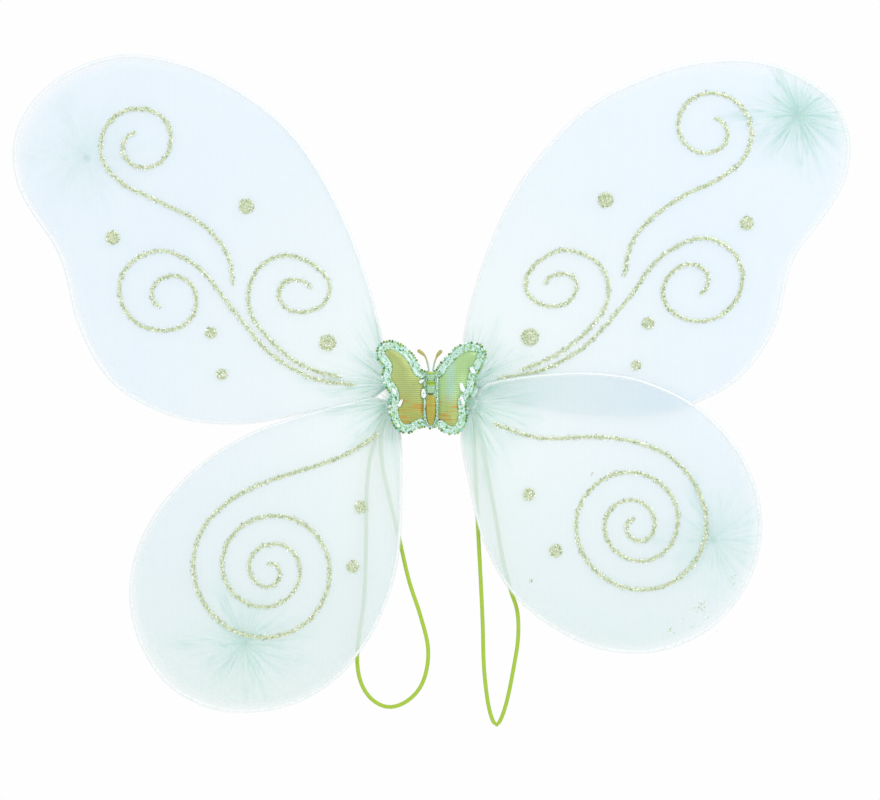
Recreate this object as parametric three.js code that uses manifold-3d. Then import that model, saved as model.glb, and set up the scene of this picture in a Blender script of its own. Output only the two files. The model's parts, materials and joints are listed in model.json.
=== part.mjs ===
// Fairy wings: four nylon-covered wire wings round a padded butterfly, with two elastic arm loops.
// Millimetres. +X is to the right seen from the decorated side, +Z is up, and -Y faces away from the wearer.
// The origin is the middle of the felt pad's outer face, which rests on the wearer's back.
import * as THREE from 'three';
import { mergeVertices } from 'three/addons/utils/BufferGeometryUtils.js';
import Module from 'manifold-3d';

const wasm = await Module();
wasm.setup();

// ---- Driving dimensions ----

const upperWingLength = 244; // root to the farthest point of an upper wing
const lowerWingLength = 197; // root to the farthest point of a lower wing

const wireDiameter = 1.6;
const fabricWall = 0.3; // a plain stand-in for the stretched nylon's thickness
const fabricGap = 0.3; // from the wire to the fabric round it
const clearance = 0.3; // between pieces that rest on each other

const glitterThickness = 0.5;
const lineWidth = 2.4;
const layerGap = 0.4; // from an upper wing's glitter to the lower wing in front of it

const padHeight = 38; // of the felt pad, which has the butterfly's shape and stays hidden behind it
const padThickness = 2;

const coreHeight = 20;
const coreToWing = 5.2; // from the back of the core to the upper wings' plane
const noseWidth = 2.4; // how thick the core is where it meets a root binding
const coreBackWidth = 30;
const coreFrontWidth = 26;
const coreShoulder = 1.2; // from the lower wings' plane to where the core has its front width

const rootX = 21.5; // from the centre line to a wing's root
const upperRootZ = 2;
const lowerRootZ = -8;
const bundleRadius = 3; // of the thread wrap round one wing's gathered root
const webWidth = 3; // of the wrap between the two bundles of one side
const bundleBackInset = 0.2; // from the upper sleeves' back to the bundles' back
const bundleProud = 0.1; // from the lower sleeves' front to the lower bundle's front
const webProud = 0.4; // from the upper sleeves' front to the upper bundle's front
const hingeGap = 0.4; // on each side of the line where a pair of wings folds

const butterflyStandoff = 4.1; // from the lower wings' front to the butterfly's backing
const backingThickness = 1;
const backingInset = 0.8;
const bridgeWidth = 4; // of the backing where it joins the two halves
const bridgeFoot = -19.5;
const bridgeTop = 6.5;
const borderWidth = 3.6;
const borderThickness = 2;
const panelThickness = 3;
const panelBevel = 0.8;
const bodyWidth = 5.2;
const bodyDepth = 2.6;
const antennaDiameter = 1;

const tieRadius = 3.2;
const tieHeight = 2.2;

const elasticDiameter = 2.2;
const knotRadius = 2.6;
const knotWidth = 4.4;
const loopToWing = 1.6; // from the back of a lower wing to the elastic behind it

// ---- Sizes that follow from them ----

const sleeveThickness = wireDiameter + 2 * (fabricGap + fabricWall);
const layerPitch = sleeveThickness + clearance + glitterThickness + layerGap;
const coreBack = -(padThickness + clearance);
const upperPlane = coreBack - coreToWing;
const lowerPlane = upperPlane - layerPitch;
const butterflyBack = lowerPlane - sleeveThickness / 2 - butterflyStandoff;
const borderBack = butterflyBack - backingThickness - clearance;
const bodyPlane = borderBack - borderThickness - clearance - bodyDepth / 2;
const foldX = rootX - bundleRadius - hingeGap;
const mouthRadius = bundleRadius + 0.5;
const loopPlane = lowerPlane + sleeveThickness / 2 + loopToWing + elasticDiameter / 2;

// The lengths that the outlines below are drawn at. A wing of another length is scaled about its root.
const drawnUpperLength = 244;
const drawnLowerLength = 197;

// ---- Materials ----

const paint = (hex, roughness, metalness = 0) =>
  new THREE.MeshStandardMaterial({ color: hex, roughness, metalness });

const nylonUpper = () => paint(0xe6f3fb, 0.7);
const nylonLower = () => paint(0xe0eef0, 0.7);
const whiteWire = () => paint(0xfafafa, 0.45);
const glitter = () => paint(0xb6b878, 0.5, 0.3);
const mintThread = () => paint(0xa9d8c0, 0.8);
const limeElastic = () => paint(0xacd02d, 0.65);
const whiteFelt = () => paint(0xf1f3ef, 0.95);
const greenLame = () => paint(0xb6c46a, 0.35, 0.4);
const mintTrim = () => paint(0xcfe8dc, 0.3, 0.2);

// ---- Where each wing is, and its own outline ----

// Each wire is bent by hand, so the four outlines differ a little. Points are [x, z] at the drawn lengths.
const wings = {
  left_upper: {
    side: -1,
    root: [-rootX, upperRootZ],
    plane: upperPlane,
    scale: upperWingLength / drawnUpperLength,
    mouth: [96, 219],
    outline: [
      [-22.9, 13], [-26.2, 27], [-35, 61], [-52, 103], [-79.5, 144], [-119.5, 172], [-148, 181.5], [-172, 183],
      [-201, 173], [-219, 157.5], [-229, 137], [-227.5, 112], [-214, 88], [-206, 76], [-201, 62], [-193.5, 33],
      [-175, 2.4], [-142, -16], [-106, -20.3], [-67, -14], [-44, -9.4], [-30, -5.5],
    ],
    tip: [-189.5, 127],
    swirls: [
      {
        centre: [-161.5, 134], start: 96, turn: 60,
        radii: [6.3, 6.3, 9, 13, 17.5, 20, 19, 19, 21],
        tail: [[-168.8, 111.8], [-153.4, 104.1], [-128.8, 91.8], [-118, 82.5], [-111.1, 71.8], [-108.4, 56.3]],
      },
      {
        centre: [-147.5, 50], start: -95, turn: -60,
        radii: [6, 5.2, 6.3, 10.5, 17, 19.8, 18.6, 21.2, 25, 25.2],
        tail: [[-127.3, 65.6], [-107.2, 41], [-88.7, 19.4], [-76.4, 10.9], [-62.5, 4.7], [-41.7, 1.6]],
      },
      {
        centre: [-77.5, 54.5], start: -2, turn: 60,
        radii: [12, 5.6, 4.7, 5.2, 8.8, 14.7, 22, 17.6, 19, 22, 28],
        tail: [[-82.6, 20.9], [-73.3, 14], [-61, 8.6], [-49.4, 5.8]],
      },
    ],
    dots: [[-101.3, 99.5, 4.2], [-174.5, 82.4, 3.8], [-120.6, 30.2, 3.3], [-56.7, 24.8, 4.6], [-114.7, 7.4, 3.1]],
  },
  right_upper: {
    side: 1,
    root: [rootX, upperRootZ],
    plane: upperPlane,
    scale: upperWingLength / drawnUpperLength,
    mouth: [104, -38],
    outline: [
      [18.7, 13], [17.4, 27], [22, 49], [30, 74], [41, 99.5], [53, 119.5], [85, 154], [126, 174.5], [152, 180.3],
      [180, 180], [203, 171.5], [222, 157], [230, 136], [227.5, 114], [210, 85.6], [201.4, 74.8], [196.5, 63],
      [189, 33], [168, 4], [131, -13.4], [96, -16], [60, -12], [38, -6.5], [28.5, -3.5],
    ],
    tip: [201.5, 149.5],
    swirls: [
      {
        centre: [154, 143.5], start: 72, turn: -60,
        radii: [5, 6.4, 11.5, 15.5, 18.4, 18.6, 18, 20.5, 25],
        tail: [[155.9, 113.4], [142, 107.2], [128.2, 98.7], [115.8, 87.9], [108.9, 76.4], [105.8, 61]],
      },
      {
        centre: [147, 58], start: -86, turn: 60,
        radii: [7, 5, 5.6, 8.8, 15, 22, 21.3, 22.5, 24.8, 24],
        tail: [[125.1, 71], [106.6, 47.1], [86.6, 24.8], [75.8, 17.1], [61.9, 10.2], [36.5, 5.1]],
      },
      {
        centre: [73, 58.5], start: -171, turn: -60,
        radii: [11, 5, 4, 6, 9, 14.7, 21.4, 17, 17.2, 23, 28],
        tail: [[77.4, 24], [63.5, 15.5], [48.9, 9.8]],
      },
    ],
    dots: [[95.7, 103, 4.3], [173.1, 90.4, 3.7], [54.2, 27.8, 4.8], [119, 35.4, 3.4], [112.5, 12.3, 2.8]],
  },
  left_lower: {
    side: -1,
    root: [-rootX, lowerRootZ],
    plane: lowerPlane,
    scale: lowerWingLength / drawnLowerLength,
    mouth: [152, 290],
    outline: [
      [-28.4, -4.6], [-48.7, -8.4], [-66, -13], [-99, -24.5], [-126, -41], [-148.5, -64.5], [-161, -88], [-165.3, -112],
      [-160.4, -138], [-144, -163], [-121, -175.5], [-96.6, -177.7], [-72, -172], [-51, -158.7], [-35, -139.5],
      [-22.5, -113], [-16.8, -88], [-15.6, -55], [-16.1, -26], [-18.3, -16.8],
    ],
    tip: [-102, -140],
    swirls: [
      {
        centre: [-89, -99.5], start: 94, turn: -60,
        radii: [4.2, 5, 7, 9.2, 9.4, 11.2, 13.8, 16.9, 17.9, 19.8, 22.9, 26.3, 29.3, 32.6, 34.4, 36.5, 39.1, 42],
        tail: [[-120.5, -71.1], [-107.2, -59.8], [-91.2, -51.8], [-75.3, -46.5], [-56.7, -40.5], [-42, -33.9],
          [-28.7, -25.2]],
      },
    ],
    dots: [[-38.4, -65.1, 3.3], [-42.9, -97.7, 3.4]],
  },
  right_lower: {
    side: 1,
    root: [rootX, lowerRootZ],
    plane: lowerPlane,
    scale: lowerWingLength / drawnLowerLength,
    mouth: [60, -110],
    outline: [
      [26.5, 0.5], [33, 3.6], [45, 6], [62, 8.1], [80, 9], [98, 8.1], [116, 4.6], [146, -9.9], [169, -34.5],
      [180, -62], [180.3, -86], [171.5, -111], [152, -132.5], [125, -144.3], [98, -144.3], [75, -136.3],
      [45, -113.7], [27, -80.8], [20.9, -55], [16, -27], [18, -17],
    ],
    tip: [154.5, -83],
    swirls: [
      {
        centre: [113, -75], start: 112, turn: 60,
        radii: [4.2, 6.2, 7.6, 9, 9.3, 10.8, 14.7, 18, 18.6, 20.1, 21.3, 25, 30.5, 33.8, 34, 36, 37.5],
        tail: [[150, -68.5], [146, -56.5], [139.3, -45.8], [130, -37.2], [118, -31.5], [103.4, -27.9], [87.5, -26.8],
          [58.1, -27.2], [34.2, -19.5]],
      },
    ],
    dots: [[53.5, -58.1, 3.4], [68.1, -89, 3.6]],
  },
};

// Each arm loop's route from its knot down behind the lower wing and back, as [x, y, z].
const elasticLoops = {
  left: {
    knot: [-26, loopPlane, -14],
    route: [
      [-27.0, -7.3, -16.7], [-31.6, -7.3, -30], [-34.8, -7.1, -48], [-35.6, -6.8, -72], [-35.9, -6.4, -96],
      [-37.0, -6.0, -118], [-39.6, -5.6, -136], [-40.6, -5.2, -151], [-38.2, -5.0, -163], [-32.0, -4.9, -171.8],
      [-23.1, -4.9, -175.5], [-13.8, -4.9, -172.6], [-6.2, -5.0, -165], [-2.3, -5.2, -154], [-1.9, -5.6, -141],
      [-6.2, -6.0, -124], [-12.1, -6.3, -106], [-17.2, -6.7, -84], [-22.4, -7.0, -62], [-26.8, -7.2, -42],
      [-27.4, -7.3, -28], [-25.6, -7.3, -16.9],
    ],
  },
  right: {
    knot: [25, loopPlane, -14],
    route: [
      [24.2, -7.3, -16.8], [23.8, -7.3, -32], [24.8, -7.1, -54], [25.8, -6.8, -78], [27.2, -6.4, -104],
      [28.4, -6.0, -130], [29.0, -5.6, -152], [30.8, -5.2, -170], [33.2, -5.0, -181], [36.0, -4.9, -185.4],
      [38.9, -4.9, -181], [42.0, -5.0, -171], [45.2, -5.3, -155], [47.8, -5.7, -138], [47.4, -6.1, -123],
      [43.4, -6.4, -110], [39.4, -6.8, -94], [36.0, -7.0, -74], [32.4, -7.2, -54], [29.2, -7.3, -36],
      [26.6, -7.3, -22], [25.8, -7.3, -16.9],
    ],
  },
};

// ---- Geometry helpers ----

const object = new THREE.Group();

function place(parent, name, geometry, material) {
  const mesh = new THREE.Mesh(geometry, material);
  mesh.name = name;
  parent.add(mesh);
  return mesh;
}

const vec2 = ([x, z]) => new THREE.Vector2(x, z);

const polar = ([x, z], radius, degrees) => {
  const angle = THREE.MathUtils.degToRad(degrees);
  return new THREE.Vector2(x + radius * Math.cos(angle), z + radius * Math.sin(angle));
};

// A flat plate in the XZ plane whose back face is at y = back and whose front is nearer the viewer.
function plate(shape, thickness, back, bevel = 0) {
  const geometry = new THREE.ExtrudeGeometry(shape, {
    depth: thickness - 2 * bevel,
    bevelEnabled: bevel > 0,
    bevelThickness: bevel,
    bevelSize: bevel,
    bevelOffset: -bevel,
    bevelSegments: 1,
    curveSegments: 8,
  });
  geometry.translate(0, 0, bevel);
  geometry.rotateX(Math.PI / 2);
  geometry.translate(0, back, 0);
  return geometry;
}

function spline(points, count, closed = false) {
  const curve = new THREE.CatmullRomCurve3(points.map((p) => new THREE.Vector3(p.x, p.y, 0)), closed);
  curve.arcLengthDivisions = 1200;
  return curve.getSpacedPoints(count).map((p) => new THREE.Vector2(p.x, p.y));
}

// Every point moved sideways by a distance, to the left of the way the line runs.
function sideways(points, distance, closed = false) {
  const last = points.length - 1;
  return points.map((point, i) => {
    const before = points[closed ? (i + last) % (last + 1) : Math.max(i - 1, 0)];
    const after = points[closed ? (i + 1) % (last + 1) : Math.min(i + 1, last)];
    const inward = point.clone().sub(before);
    const outward = after.clone().sub(point);
    const a = inward.lengthSq() > 0 ? inward.normalize() : outward.clone().normalize();
    const b = outward.lengthSq() > 0 ? outward.normalize() : a.clone();
    const along = a.clone().add(b).normalize();
    const stretch = 1 / Math.max(along.dot(a), 0.5);
    return new THREE.Vector2(point.x - along.y * distance * stretch, point.y + along.x * distance * stretch);
  });
}

// A path that a tube follows corner by corner, so that it stays parallel to an outline with the same corners.
class CornerPath extends THREE.Curve {
  constructor(points) {
    super();
    this.points = points;
  }

  getPoint(t) {
    const along = t * (this.points.length - 1);
    const first = Math.min(Math.floor(along), this.points.length - 2);
    return this.points[first].clone().lerp(this.points[first + 1], along - first);
  }

  getPointAt(t) {
    return this.getPoint(t);
  }

  getTangentAt(t) {
    const step = 0.5 / (this.points.length - 1);
    const ahead = this.getPoint(Math.min(t + step, 1));
    return ahead.sub(this.getPoint(Math.max(t - step, 0))).normalize();
  }
}

function tube(path, steps, diameter, sides) {
  const section = new THREE.Shape();
  for (let i = 0; i < sides; i += 1) {
    const corner = polar([0, 0], diameter / 2, (360 * (i + 0.5)) / sides);
    if (i === 0) section.moveTo(corner.x, corner.y);
    else section.lineTo(corner.x, corner.y);
  }
  section.closePath();
  return new THREE.ExtrudeGeometry(section, { steps, extrudePath: path, bevelEnabled: false });
}

function solid(geometry) {
  const plain = geometry.clone();
  plain.deleteAttribute('normal');
  plain.deleteAttribute('uv');
  const merged = mergeVertices(plain, 1e-4);
  return new wasm.Manifold(new wasm.Mesh({
    numProp: 3,
    vertProperties: new Float32Array(merged.attributes.position.array),
    triVerts: new Uint32Array(merged.index.array),
  }));
}

function geometryOf(manifold) {
  const mesh = manifold.getMesh();
  const geometry = new THREE.BufferGeometry();
  geometry.setAttribute('position', new THREE.BufferAttribute(new Float32Array(mesh.vertProperties), 3));
  geometry.setIndex(new THREE.BufferAttribute(new Uint32Array(mesh.triVerts), 1));
  const flat = geometry.toNonIndexed();
  flat.computeVertexNormals();
  return flat;
}

// ---- The wings ----

const rimSteps = 60;
const ribbonStep = 5.5; // millimetres between a glitter line's corners
const dotSides = 12;

// A point drawn on a wing, at the wing's real size.
const onWing = (wing, [x, z]) =>
  new THREE.Vector2(wing.root[0] + (x - wing.root[0]) * wing.scale, wing.root[1] + (z - wing.root[1]) * wing.scale);

// The outer edge of a wing's fabric, from the first lip of its mouth round to the other.
function edgeOf(wing) {
  const ends = wing.mouth.map((degrees) => polar(wing.root, mouthRadius, degrees));
  return spline([ends[0], ...wing.outline.map((p) => onWing(wing, p)), ends[1]], rimSteps);
}

// An arc about the root that closes an outline, from the second lip back to the first.
function mouthArc(wing, radius) {
  const [first, last] = wing.mouth;
  const steps = 8;
  const arc = [];
  for (let i = 1; i < steps; i += 1) arc.push(polar(wing.root, radius, last + ((first - last) * i) / steps));
  return arc;
}

// A left wing's edge runs anticlockwise, so inward is to its left, and a right wing's the other way.
const inward = (wing, points, distance) => sideways(points, -wing.side * distance);

function wireFrame(wing) {
  const inset = fabricWall + fabricGap + wireDiameter / 2;
  const line = inward(wing, edgeOf(wing), inset).map((p) => new THREE.Vector3(p.x, wing.plane, p.y));
  return tube(new CornerPath(line), line.length - 1, wireDiameter, 6);
}

function sleeve(wing) {
  const edge = edgeOf(wing);
  const outside = new THREE.Shape([...edge, ...mouthArc(wing, mouthRadius)]);
  const inside = new THREE.Shape([...inward(wing, edge, fabricWall), ...mouthArc(wing, bundleRadius / 2)]);
  const skin = plate(outside, sleeveThickness, wing.plane + sleeveThickness / 2);
  const hollow = plate(inside, sleeveThickness - 2 * fabricWall, wing.plane + sleeveThickness / 2 - fabricWall);
  return geometryOf(solid(skin).subtract(solid(hollow)));
}

// A swirl's middle line: a curl given by its radius every sixth of a turn, then a tail.
function swirlLine(wing, { centre, start, turn, radii, tail }) {
  const curve = new THREE.CatmullRomCurve3(radii.map((r, i) => new THREE.Vector3(r, i, 0)));
  const curl = [];
  const finer = 3;
  for (let i = 0; i <= (radii.length - 1) * finer; i += 1) {
    const radius = curve.getPoint(i / ((radii.length - 1) * finer)).x;
    curl.push(polar(centre, radius, start + (turn * i) / finer));
  }
  const drawn = [...curl, ...tail.map(vec2)].map((p) => onWing(wing, [p.x, p.y]));
  const length = drawn.slice(1).reduce((sum, p, i) => sum + p.distanceTo(drawn[i]), 0);
  return spline(drawn, Math.round(length / ribbonStep));
}

function ribbon(line) {
  const left = sideways(line, lineWidth / 2);
  const right = sideways(line, -lineWidth / 2).reverse();
  return new THREE.Shape([...left, ...right]);
}

const fabricFront = (wing) => wing.plane - sleeveThickness / 2;
const fabricBack = (wing) => wing.plane + sleeveThickness / 2;

function glitterLine(wing, swirl) {
  return plate(ribbon(swirlLine(wing, swirl)), glitterThickness, fabricFront(wing) - clearance);
}

function disc([x, z], radius, sides) {
  const points = [];
  for (let i = 0; i < sides; i += 1) points.push(polar([x, z], radius, (360 * i) / sides));
  return new THREE.Shape(points);
}

function glitterDot(wing, [x, z, radius]) {
  const at = onWing(wing, [x, z]);
  return plate(disc([at.x, at.y], radius, dotSides), glitterThickness, fabricFront(wing) - clearance);
}

// Radius and height of a tip tie, as shares of its own.
const tieProfile = [[0, 0], [1, 0], [0.9, 0.45], [0.5, 0.85], [0, 1]];

// The knot that closes a sleeve's far end, on the back layer: a flat button with a rounded back.
function tipTie(wing) {
  const at = onWing(wing, wing.tip);
  const profile = tieProfile.map(([r, y]) => new THREE.Vector2(r * tieRadius, y * tieHeight));
  const button = new THREE.LatheGeometry(profile, 10);
  button.translate(at.x, fabricBack(wing) + clearance, at.y);
  return button;
}

function addWings() {
  for (const [name, wing] of Object.entries(wings)) {
    const group = new THREE.Group();
    place(group, `${name}_wire`, wireFrame(wing), whiteWire());
    place(group, `${name}_sleeve`, sleeve(wing), name.endsWith('upper') ? nylonUpper() : nylonLower());
    place(group, `${name}_tip_tie`, tipTie(wing), mintThread());
    wing.swirls.forEach((swirl, i) => place(group, `${name}_swirl_${i + 1}`, glitterLine(wing, swirl), glitter()));
    wing.dots.forEach((dot, i) => place(group, `${name}_dot_${i + 1}`, glitterDot(wing, dot), glitter()));
    object.add(group);
  }
}

// ---- The centre ----

// The thread wrap of one side: two round bundles joined by a web, the lower one reaching farther forward.
function rootBinding(side) {
  const x = side * rootX;
  const back = upperPlane + sleeveThickness / 2 - bundleBackInset;
  const front = lowerPlane - sleeveThickness / 2 - bundleProud;
  const webFront = upperPlane - sleeveThickness / 2 - webProud;
  const upper = plate(disc([x, upperRootZ], bundleRadius, 20), back - webFront, back);
  const lower = plate(disc([x, lowerRootZ], bundleRadius, 20), back - front, back);
  const web = new THREE.BoxGeometry(webWidth, back - webFront, upperRootZ - lowerRootZ);
  web.translate(x, (back + webFront) / 2, (upperRootZ + lowerRootZ) / 2);
  return geometryOf(solid(upper).add(solid(lower)).add(solid(web)));
}

// The bound wire ends behind the butterfly: broad at the back, a nose at each side, narrower in front.
function core() {
  const front = butterflyBack + clearance;
  const tipX = foldX - hingeGap;
  const plan = new THREE.Shape([
    new THREE.Vector2(-coreBackWidth / 2, coreBack), new THREE.Vector2(-tipX, upperPlane + noseWidth / 2),
    new THREE.Vector2(-tipX, upperPlane - noseWidth / 2), new THREE.Vector2(-coreFrontWidth / 2, lowerPlane - coreShoulder),
    new THREE.Vector2(-coreFrontWidth / 2, front), new THREE.Vector2(coreFrontWidth / 2, front),
    new THREE.Vector2(coreFrontWidth / 2, lowerPlane - coreShoulder), new THREE.Vector2(tipX, upperPlane - noseWidth / 2),
    new THREE.Vector2(tipX, upperPlane + noseWidth / 2), new THREE.Vector2(coreBackWidth / 2, coreBack),
  ]);
  const geometry = new THREE.ExtrudeGeometry(plan, { depth: coreHeight, bevelEnabled: false });
  geometry.translate(0, 0, (upperRootZ + lowerRootZ) / 2 - coreHeight / 2);
  return geometry;
}

// The right half of the felt pad's outline, from the top of the middle to its foot, drawn 38 mm tall.
const drawnPadHeight = 38;
const padHalf = [
  [0, 7.1], [4, 8.3], [7.6, 12.6], [11.8, 17.2], [16.2, 19], [20, 17.4], [20.6, 12.6], [18.2, 6.2], [16.2, 0],
  [15.6, -7], [16, -13], [13.4, -18], [8.4, -19], [3.4, -17], [0, -16.6],
];

function backPad() {
  const right = padHalf.map(([x, z]) => vec2([x, z]).multiplyScalar(padHeight / drawnPadHeight));
  const left = right.slice(1, -1).reverse().map(({ x, y }) => vec2([-x, y]));
  return plate(new THREE.Shape(spline([...right, ...left], 96, true).slice(0, -1)), padThickness, 0);
}

// The butterfly's two halves, from the head round the wing to the foot of the body, as [x, z].
const butterflyHalves = {
  left: [
    [-0.6, 8], [-4.9, 9.5], [-8.1, 15.3], [-11.8, 20], [-17, 23.7], [-21.7, 25.3], [-26, 24.5], [-28.9, 21],
    [-29, 16.5], [-25.4, 11.5], [-26.2, 7.2], [-25.2, 2.5], [-21.9, -3.2], [-21.6, -7.6], [-22.2, -12],
    [-21.4, -17], [-19, -21.6], [-14.8, -24.2], [-10, -23.5], [-6, -21.3], [-3.2, -20.8], [-0.6, -22],
  ],
  right: [
    [0.6, 8], [2.9, 9.5], [5.5, 13.2], [8.7, 16.9], [12.9, 21], [16.6, 23.2], [20.8, 24.2], [26, 23.4],
    [29.1, 20.4], [29.2, 16.3], [25.6, 8.5], [23.9, 3.2], [23, -2], [19.4, -6.6], [18.9, -10.5], [19.2, -14.5],
    [18.4, -20], [14.6, -24.2], [10.4, -25], [6.4, -23.4], [3.2, -21], [0.6, -22],
  ],
};

function halfOutline(side) {
  return spline(butterflyHalves[side].map(vec2), 44);
}

function distanceToOutline(point, outline) {
  const nearest = new THREE.Vector3();
  const flat = (p) => new THREE.Vector3(p.x, p.y, 0);
  return Math.min(...outline.map((corner, i) => {
    const next = outline[(i + 1) % outline.length];
    new THREE.Line3(flat(corner), flat(next)).closestPointToPoint(flat(point), true, nearest);
    return nearest.distanceTo(flat(point));
  }));
}

// A half outline drawn in towards the middle of its own half, without the corners that come too near its edge.
const drawInSlack = 0.05;

function drawIn(side, points, distance) {
  const moved = sideways(points, side === 'left' ? distance : -distance, true);
  return moved.filter((point) => distanceToOutline(point, points) > distance - drawInSlack);
}

function butterflyBacking() {
  const left = drawIn('left', halfOutline('left'), backingInset);
  const right = drawIn('right', halfOutline('right'), backingInset);
  const bridge = new THREE.BoxGeometry(bridgeWidth, backingThickness, bridgeTop - bridgeFoot);
  bridge.translate(0, butterflyBack - backingThickness / 2, (bridgeTop + bridgeFoot) / 2);
  const halves = [left, right].map((points) =>
    solid(plate(new THREE.Shape(points), backingThickness, butterflyBack)));
  return geometryOf(halves[0].add(halves[1]).add(solid(bridge)));
}

function butterflyBorder(side) {
  const edge = halfOutline(side);
  const shape = new THREE.Shape(edge);
  const window = drawIn(side, edge, borderWidth);
  if (THREE.ShapeUtils.isClockWise(window)) window.reverse(); // a hole runs anticlockwise
  shape.holes.push(new THREE.Path(window));
  return plate(shape, borderThickness, borderBack);
}

function butterflyPanel(side) {
  const shape = new THREE.Shape(drawIn(side, halfOutline(side), borderWidth + clearance));
  return plate(shape, panelThickness, borderBack, panelBevel);
}

// A rounded body piece that stands along Z: a turned shape, flattened front to back.
function bodyPiece(profile) {
  const turned = new THREE.LatheGeometry(profile.map(([r, z]) => new THREE.Vector2((r * bodyWidth) / 2, z)), 12);
  turned.rotateX(Math.PI / 2);
  turned.scale(1, bodyDepth / bodyWidth, 1);
  turned.translate(0, bodyPlane, 0);
  return turned;
}

const headProfile = [[0, -3.2], [0.8, -2.9], [0.95, 0], [0.75, 3.4], [0.62, 4.2], [0.85, 6], [0.7, 8], [0, 8.9]];
const abdomenProfile = [[0, -20.4], [0.42, -19.2], [0.85, -15], [1, -10], [0.9, -5.5], [0.7, -3.8], [0, -3.5]];

function antenna(side) {
  const tip = side < 0 ? [-6.8, 20.3] : [5.6, 20];
  const points = [
    new THREE.Vector3(side * 1.1, bodyPlane, 9.3), new THREE.Vector3(side * 1.9, bodyPlane, 13.4),
    new THREE.Vector3(side * 3.4, bodyPlane, 17.4), new THREE.Vector3(tip[0], bodyPlane, tip[1]),
  ];
  return tube(new THREE.CatmullRomCurve3(points), 8, antennaDiameter, 6);
}

function addCentre() {
  const group = new THREE.Group();
  place(group, 'back_pad', backPad(), whiteFelt());
  place(group, 'core_binding', core(), mintThread());
  place(group, 'butterfly_backing', butterflyBacking(), whiteFelt());
  for (const side of ['left', 'right']) {
    place(group, `butterfly_${side}_border`, butterflyBorder(side), mintTrim());
    place(group, `butterfly_${side}_panel`, butterflyPanel(side), greenLame());
  }
  place(group, 'butterfly_head', bodyPiece(headProfile), greenLame());
  place(group, 'butterfly_abdomen', bodyPiece(abdomenProfile), greenLame());
  place(group, 'left_antenna', antenna(-1), greenLame());
  place(group, 'right_antenna', antenna(1), greenLame());
  place(group, 'left_root_binding', rootBinding(-1), mintThread());
  place(group, 'right_root_binding', rootBinding(1), mintThread());
  object.add(group);
}

// ---- The arm loops ----

// The knot turns about X with its loop, so it is round about X.
function knot([x, y, z]) {
  const half = knotWidth / 2;
  const profile = [
    new THREE.Vector2(0, -half), new THREE.Vector2(knotRadius * 0.7, -half), new THREE.Vector2(knotRadius, 0),
    new THREE.Vector2(knotRadius * 0.7, half), new THREE.Vector2(0, half),
  ];
  const ball = new THREE.LatheGeometry(profile, 12);
  ball.rotateZ(Math.PI / 2);
  ball.translate(x, y, z);
  return ball;
}

function elastic(route) {
  const path = new THREE.CatmullRomCurve3(route.map(([x, y, z]) => new THREE.Vector3(x, y, z)));
  return tube(path, 64, elasticDiameter, 8);
}

function addLoops() {
  const group = new THREE.Group();
  for (const [side, loop] of Object.entries(elasticLoops)) {
    place(group, `${side}_elastic_knot`, knot(loop.knot), limeElastic());
    place(group, `${side}_elastic_loop`, elastic(loop.route), limeElastic());
  }
  object.add(group);
}

addCentre();
addWings();
addLoops();

export default object;
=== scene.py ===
import json
import math

import bmesh
import bpy
import numpy as np
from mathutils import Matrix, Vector, noise


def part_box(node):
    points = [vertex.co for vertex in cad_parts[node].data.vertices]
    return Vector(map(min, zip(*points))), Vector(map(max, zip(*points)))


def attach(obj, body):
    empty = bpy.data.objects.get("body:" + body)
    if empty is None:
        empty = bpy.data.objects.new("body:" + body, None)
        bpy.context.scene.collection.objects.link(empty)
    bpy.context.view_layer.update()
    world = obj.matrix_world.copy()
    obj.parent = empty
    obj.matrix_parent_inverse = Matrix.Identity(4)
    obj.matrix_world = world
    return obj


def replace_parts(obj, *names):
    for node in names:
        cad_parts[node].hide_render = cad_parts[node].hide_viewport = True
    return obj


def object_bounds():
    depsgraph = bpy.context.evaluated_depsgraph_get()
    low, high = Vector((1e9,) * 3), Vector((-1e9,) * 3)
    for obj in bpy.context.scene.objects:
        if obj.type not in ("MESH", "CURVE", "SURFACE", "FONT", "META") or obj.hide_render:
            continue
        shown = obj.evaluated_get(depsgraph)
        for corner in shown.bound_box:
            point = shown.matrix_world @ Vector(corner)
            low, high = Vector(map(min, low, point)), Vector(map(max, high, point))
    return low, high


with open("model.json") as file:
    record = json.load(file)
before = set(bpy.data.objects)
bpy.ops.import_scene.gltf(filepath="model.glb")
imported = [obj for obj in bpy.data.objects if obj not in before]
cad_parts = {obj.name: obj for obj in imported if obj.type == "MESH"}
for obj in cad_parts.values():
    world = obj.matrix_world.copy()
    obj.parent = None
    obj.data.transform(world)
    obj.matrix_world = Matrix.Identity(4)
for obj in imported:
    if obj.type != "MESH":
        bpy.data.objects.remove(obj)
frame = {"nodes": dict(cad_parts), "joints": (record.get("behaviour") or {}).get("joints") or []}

bl_info = {
    "name": "Fairy Wings",
    "version": (1, 0, 0),
    "blender": (4, 5, 0),
    "location": "3D View > Sidebar > Fairy Wings",
    "description": "Builds nylon-covered wire fairy wings with a padded butterfly and elastic arm loops",
    "category": "Add Mesh",
}

# Numbers are in millimetres, with +Z up and -Y away from the wearer, unless a name or comment says metres.
MM = 0.001
CAD_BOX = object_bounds()
WINGS = ("left_upper", "right_upper", "left_lower", "right_lower")
SIDES = ("left", "right")
ROOTS = {
    j["child"].removesuffix("_wing"): np.array([j["pos_m"][0], j["pos_m"][2]]) / MM
    for j in frame["joints"]
    if j["child"].endswith("_wing")
}
SEED = 7


def span(node, axis):
    """The lowest and highest place of a CAD node along one axis, in millimetres."""
    low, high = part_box(node)
    return low[axis] / MM, high[axis] / MM


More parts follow.
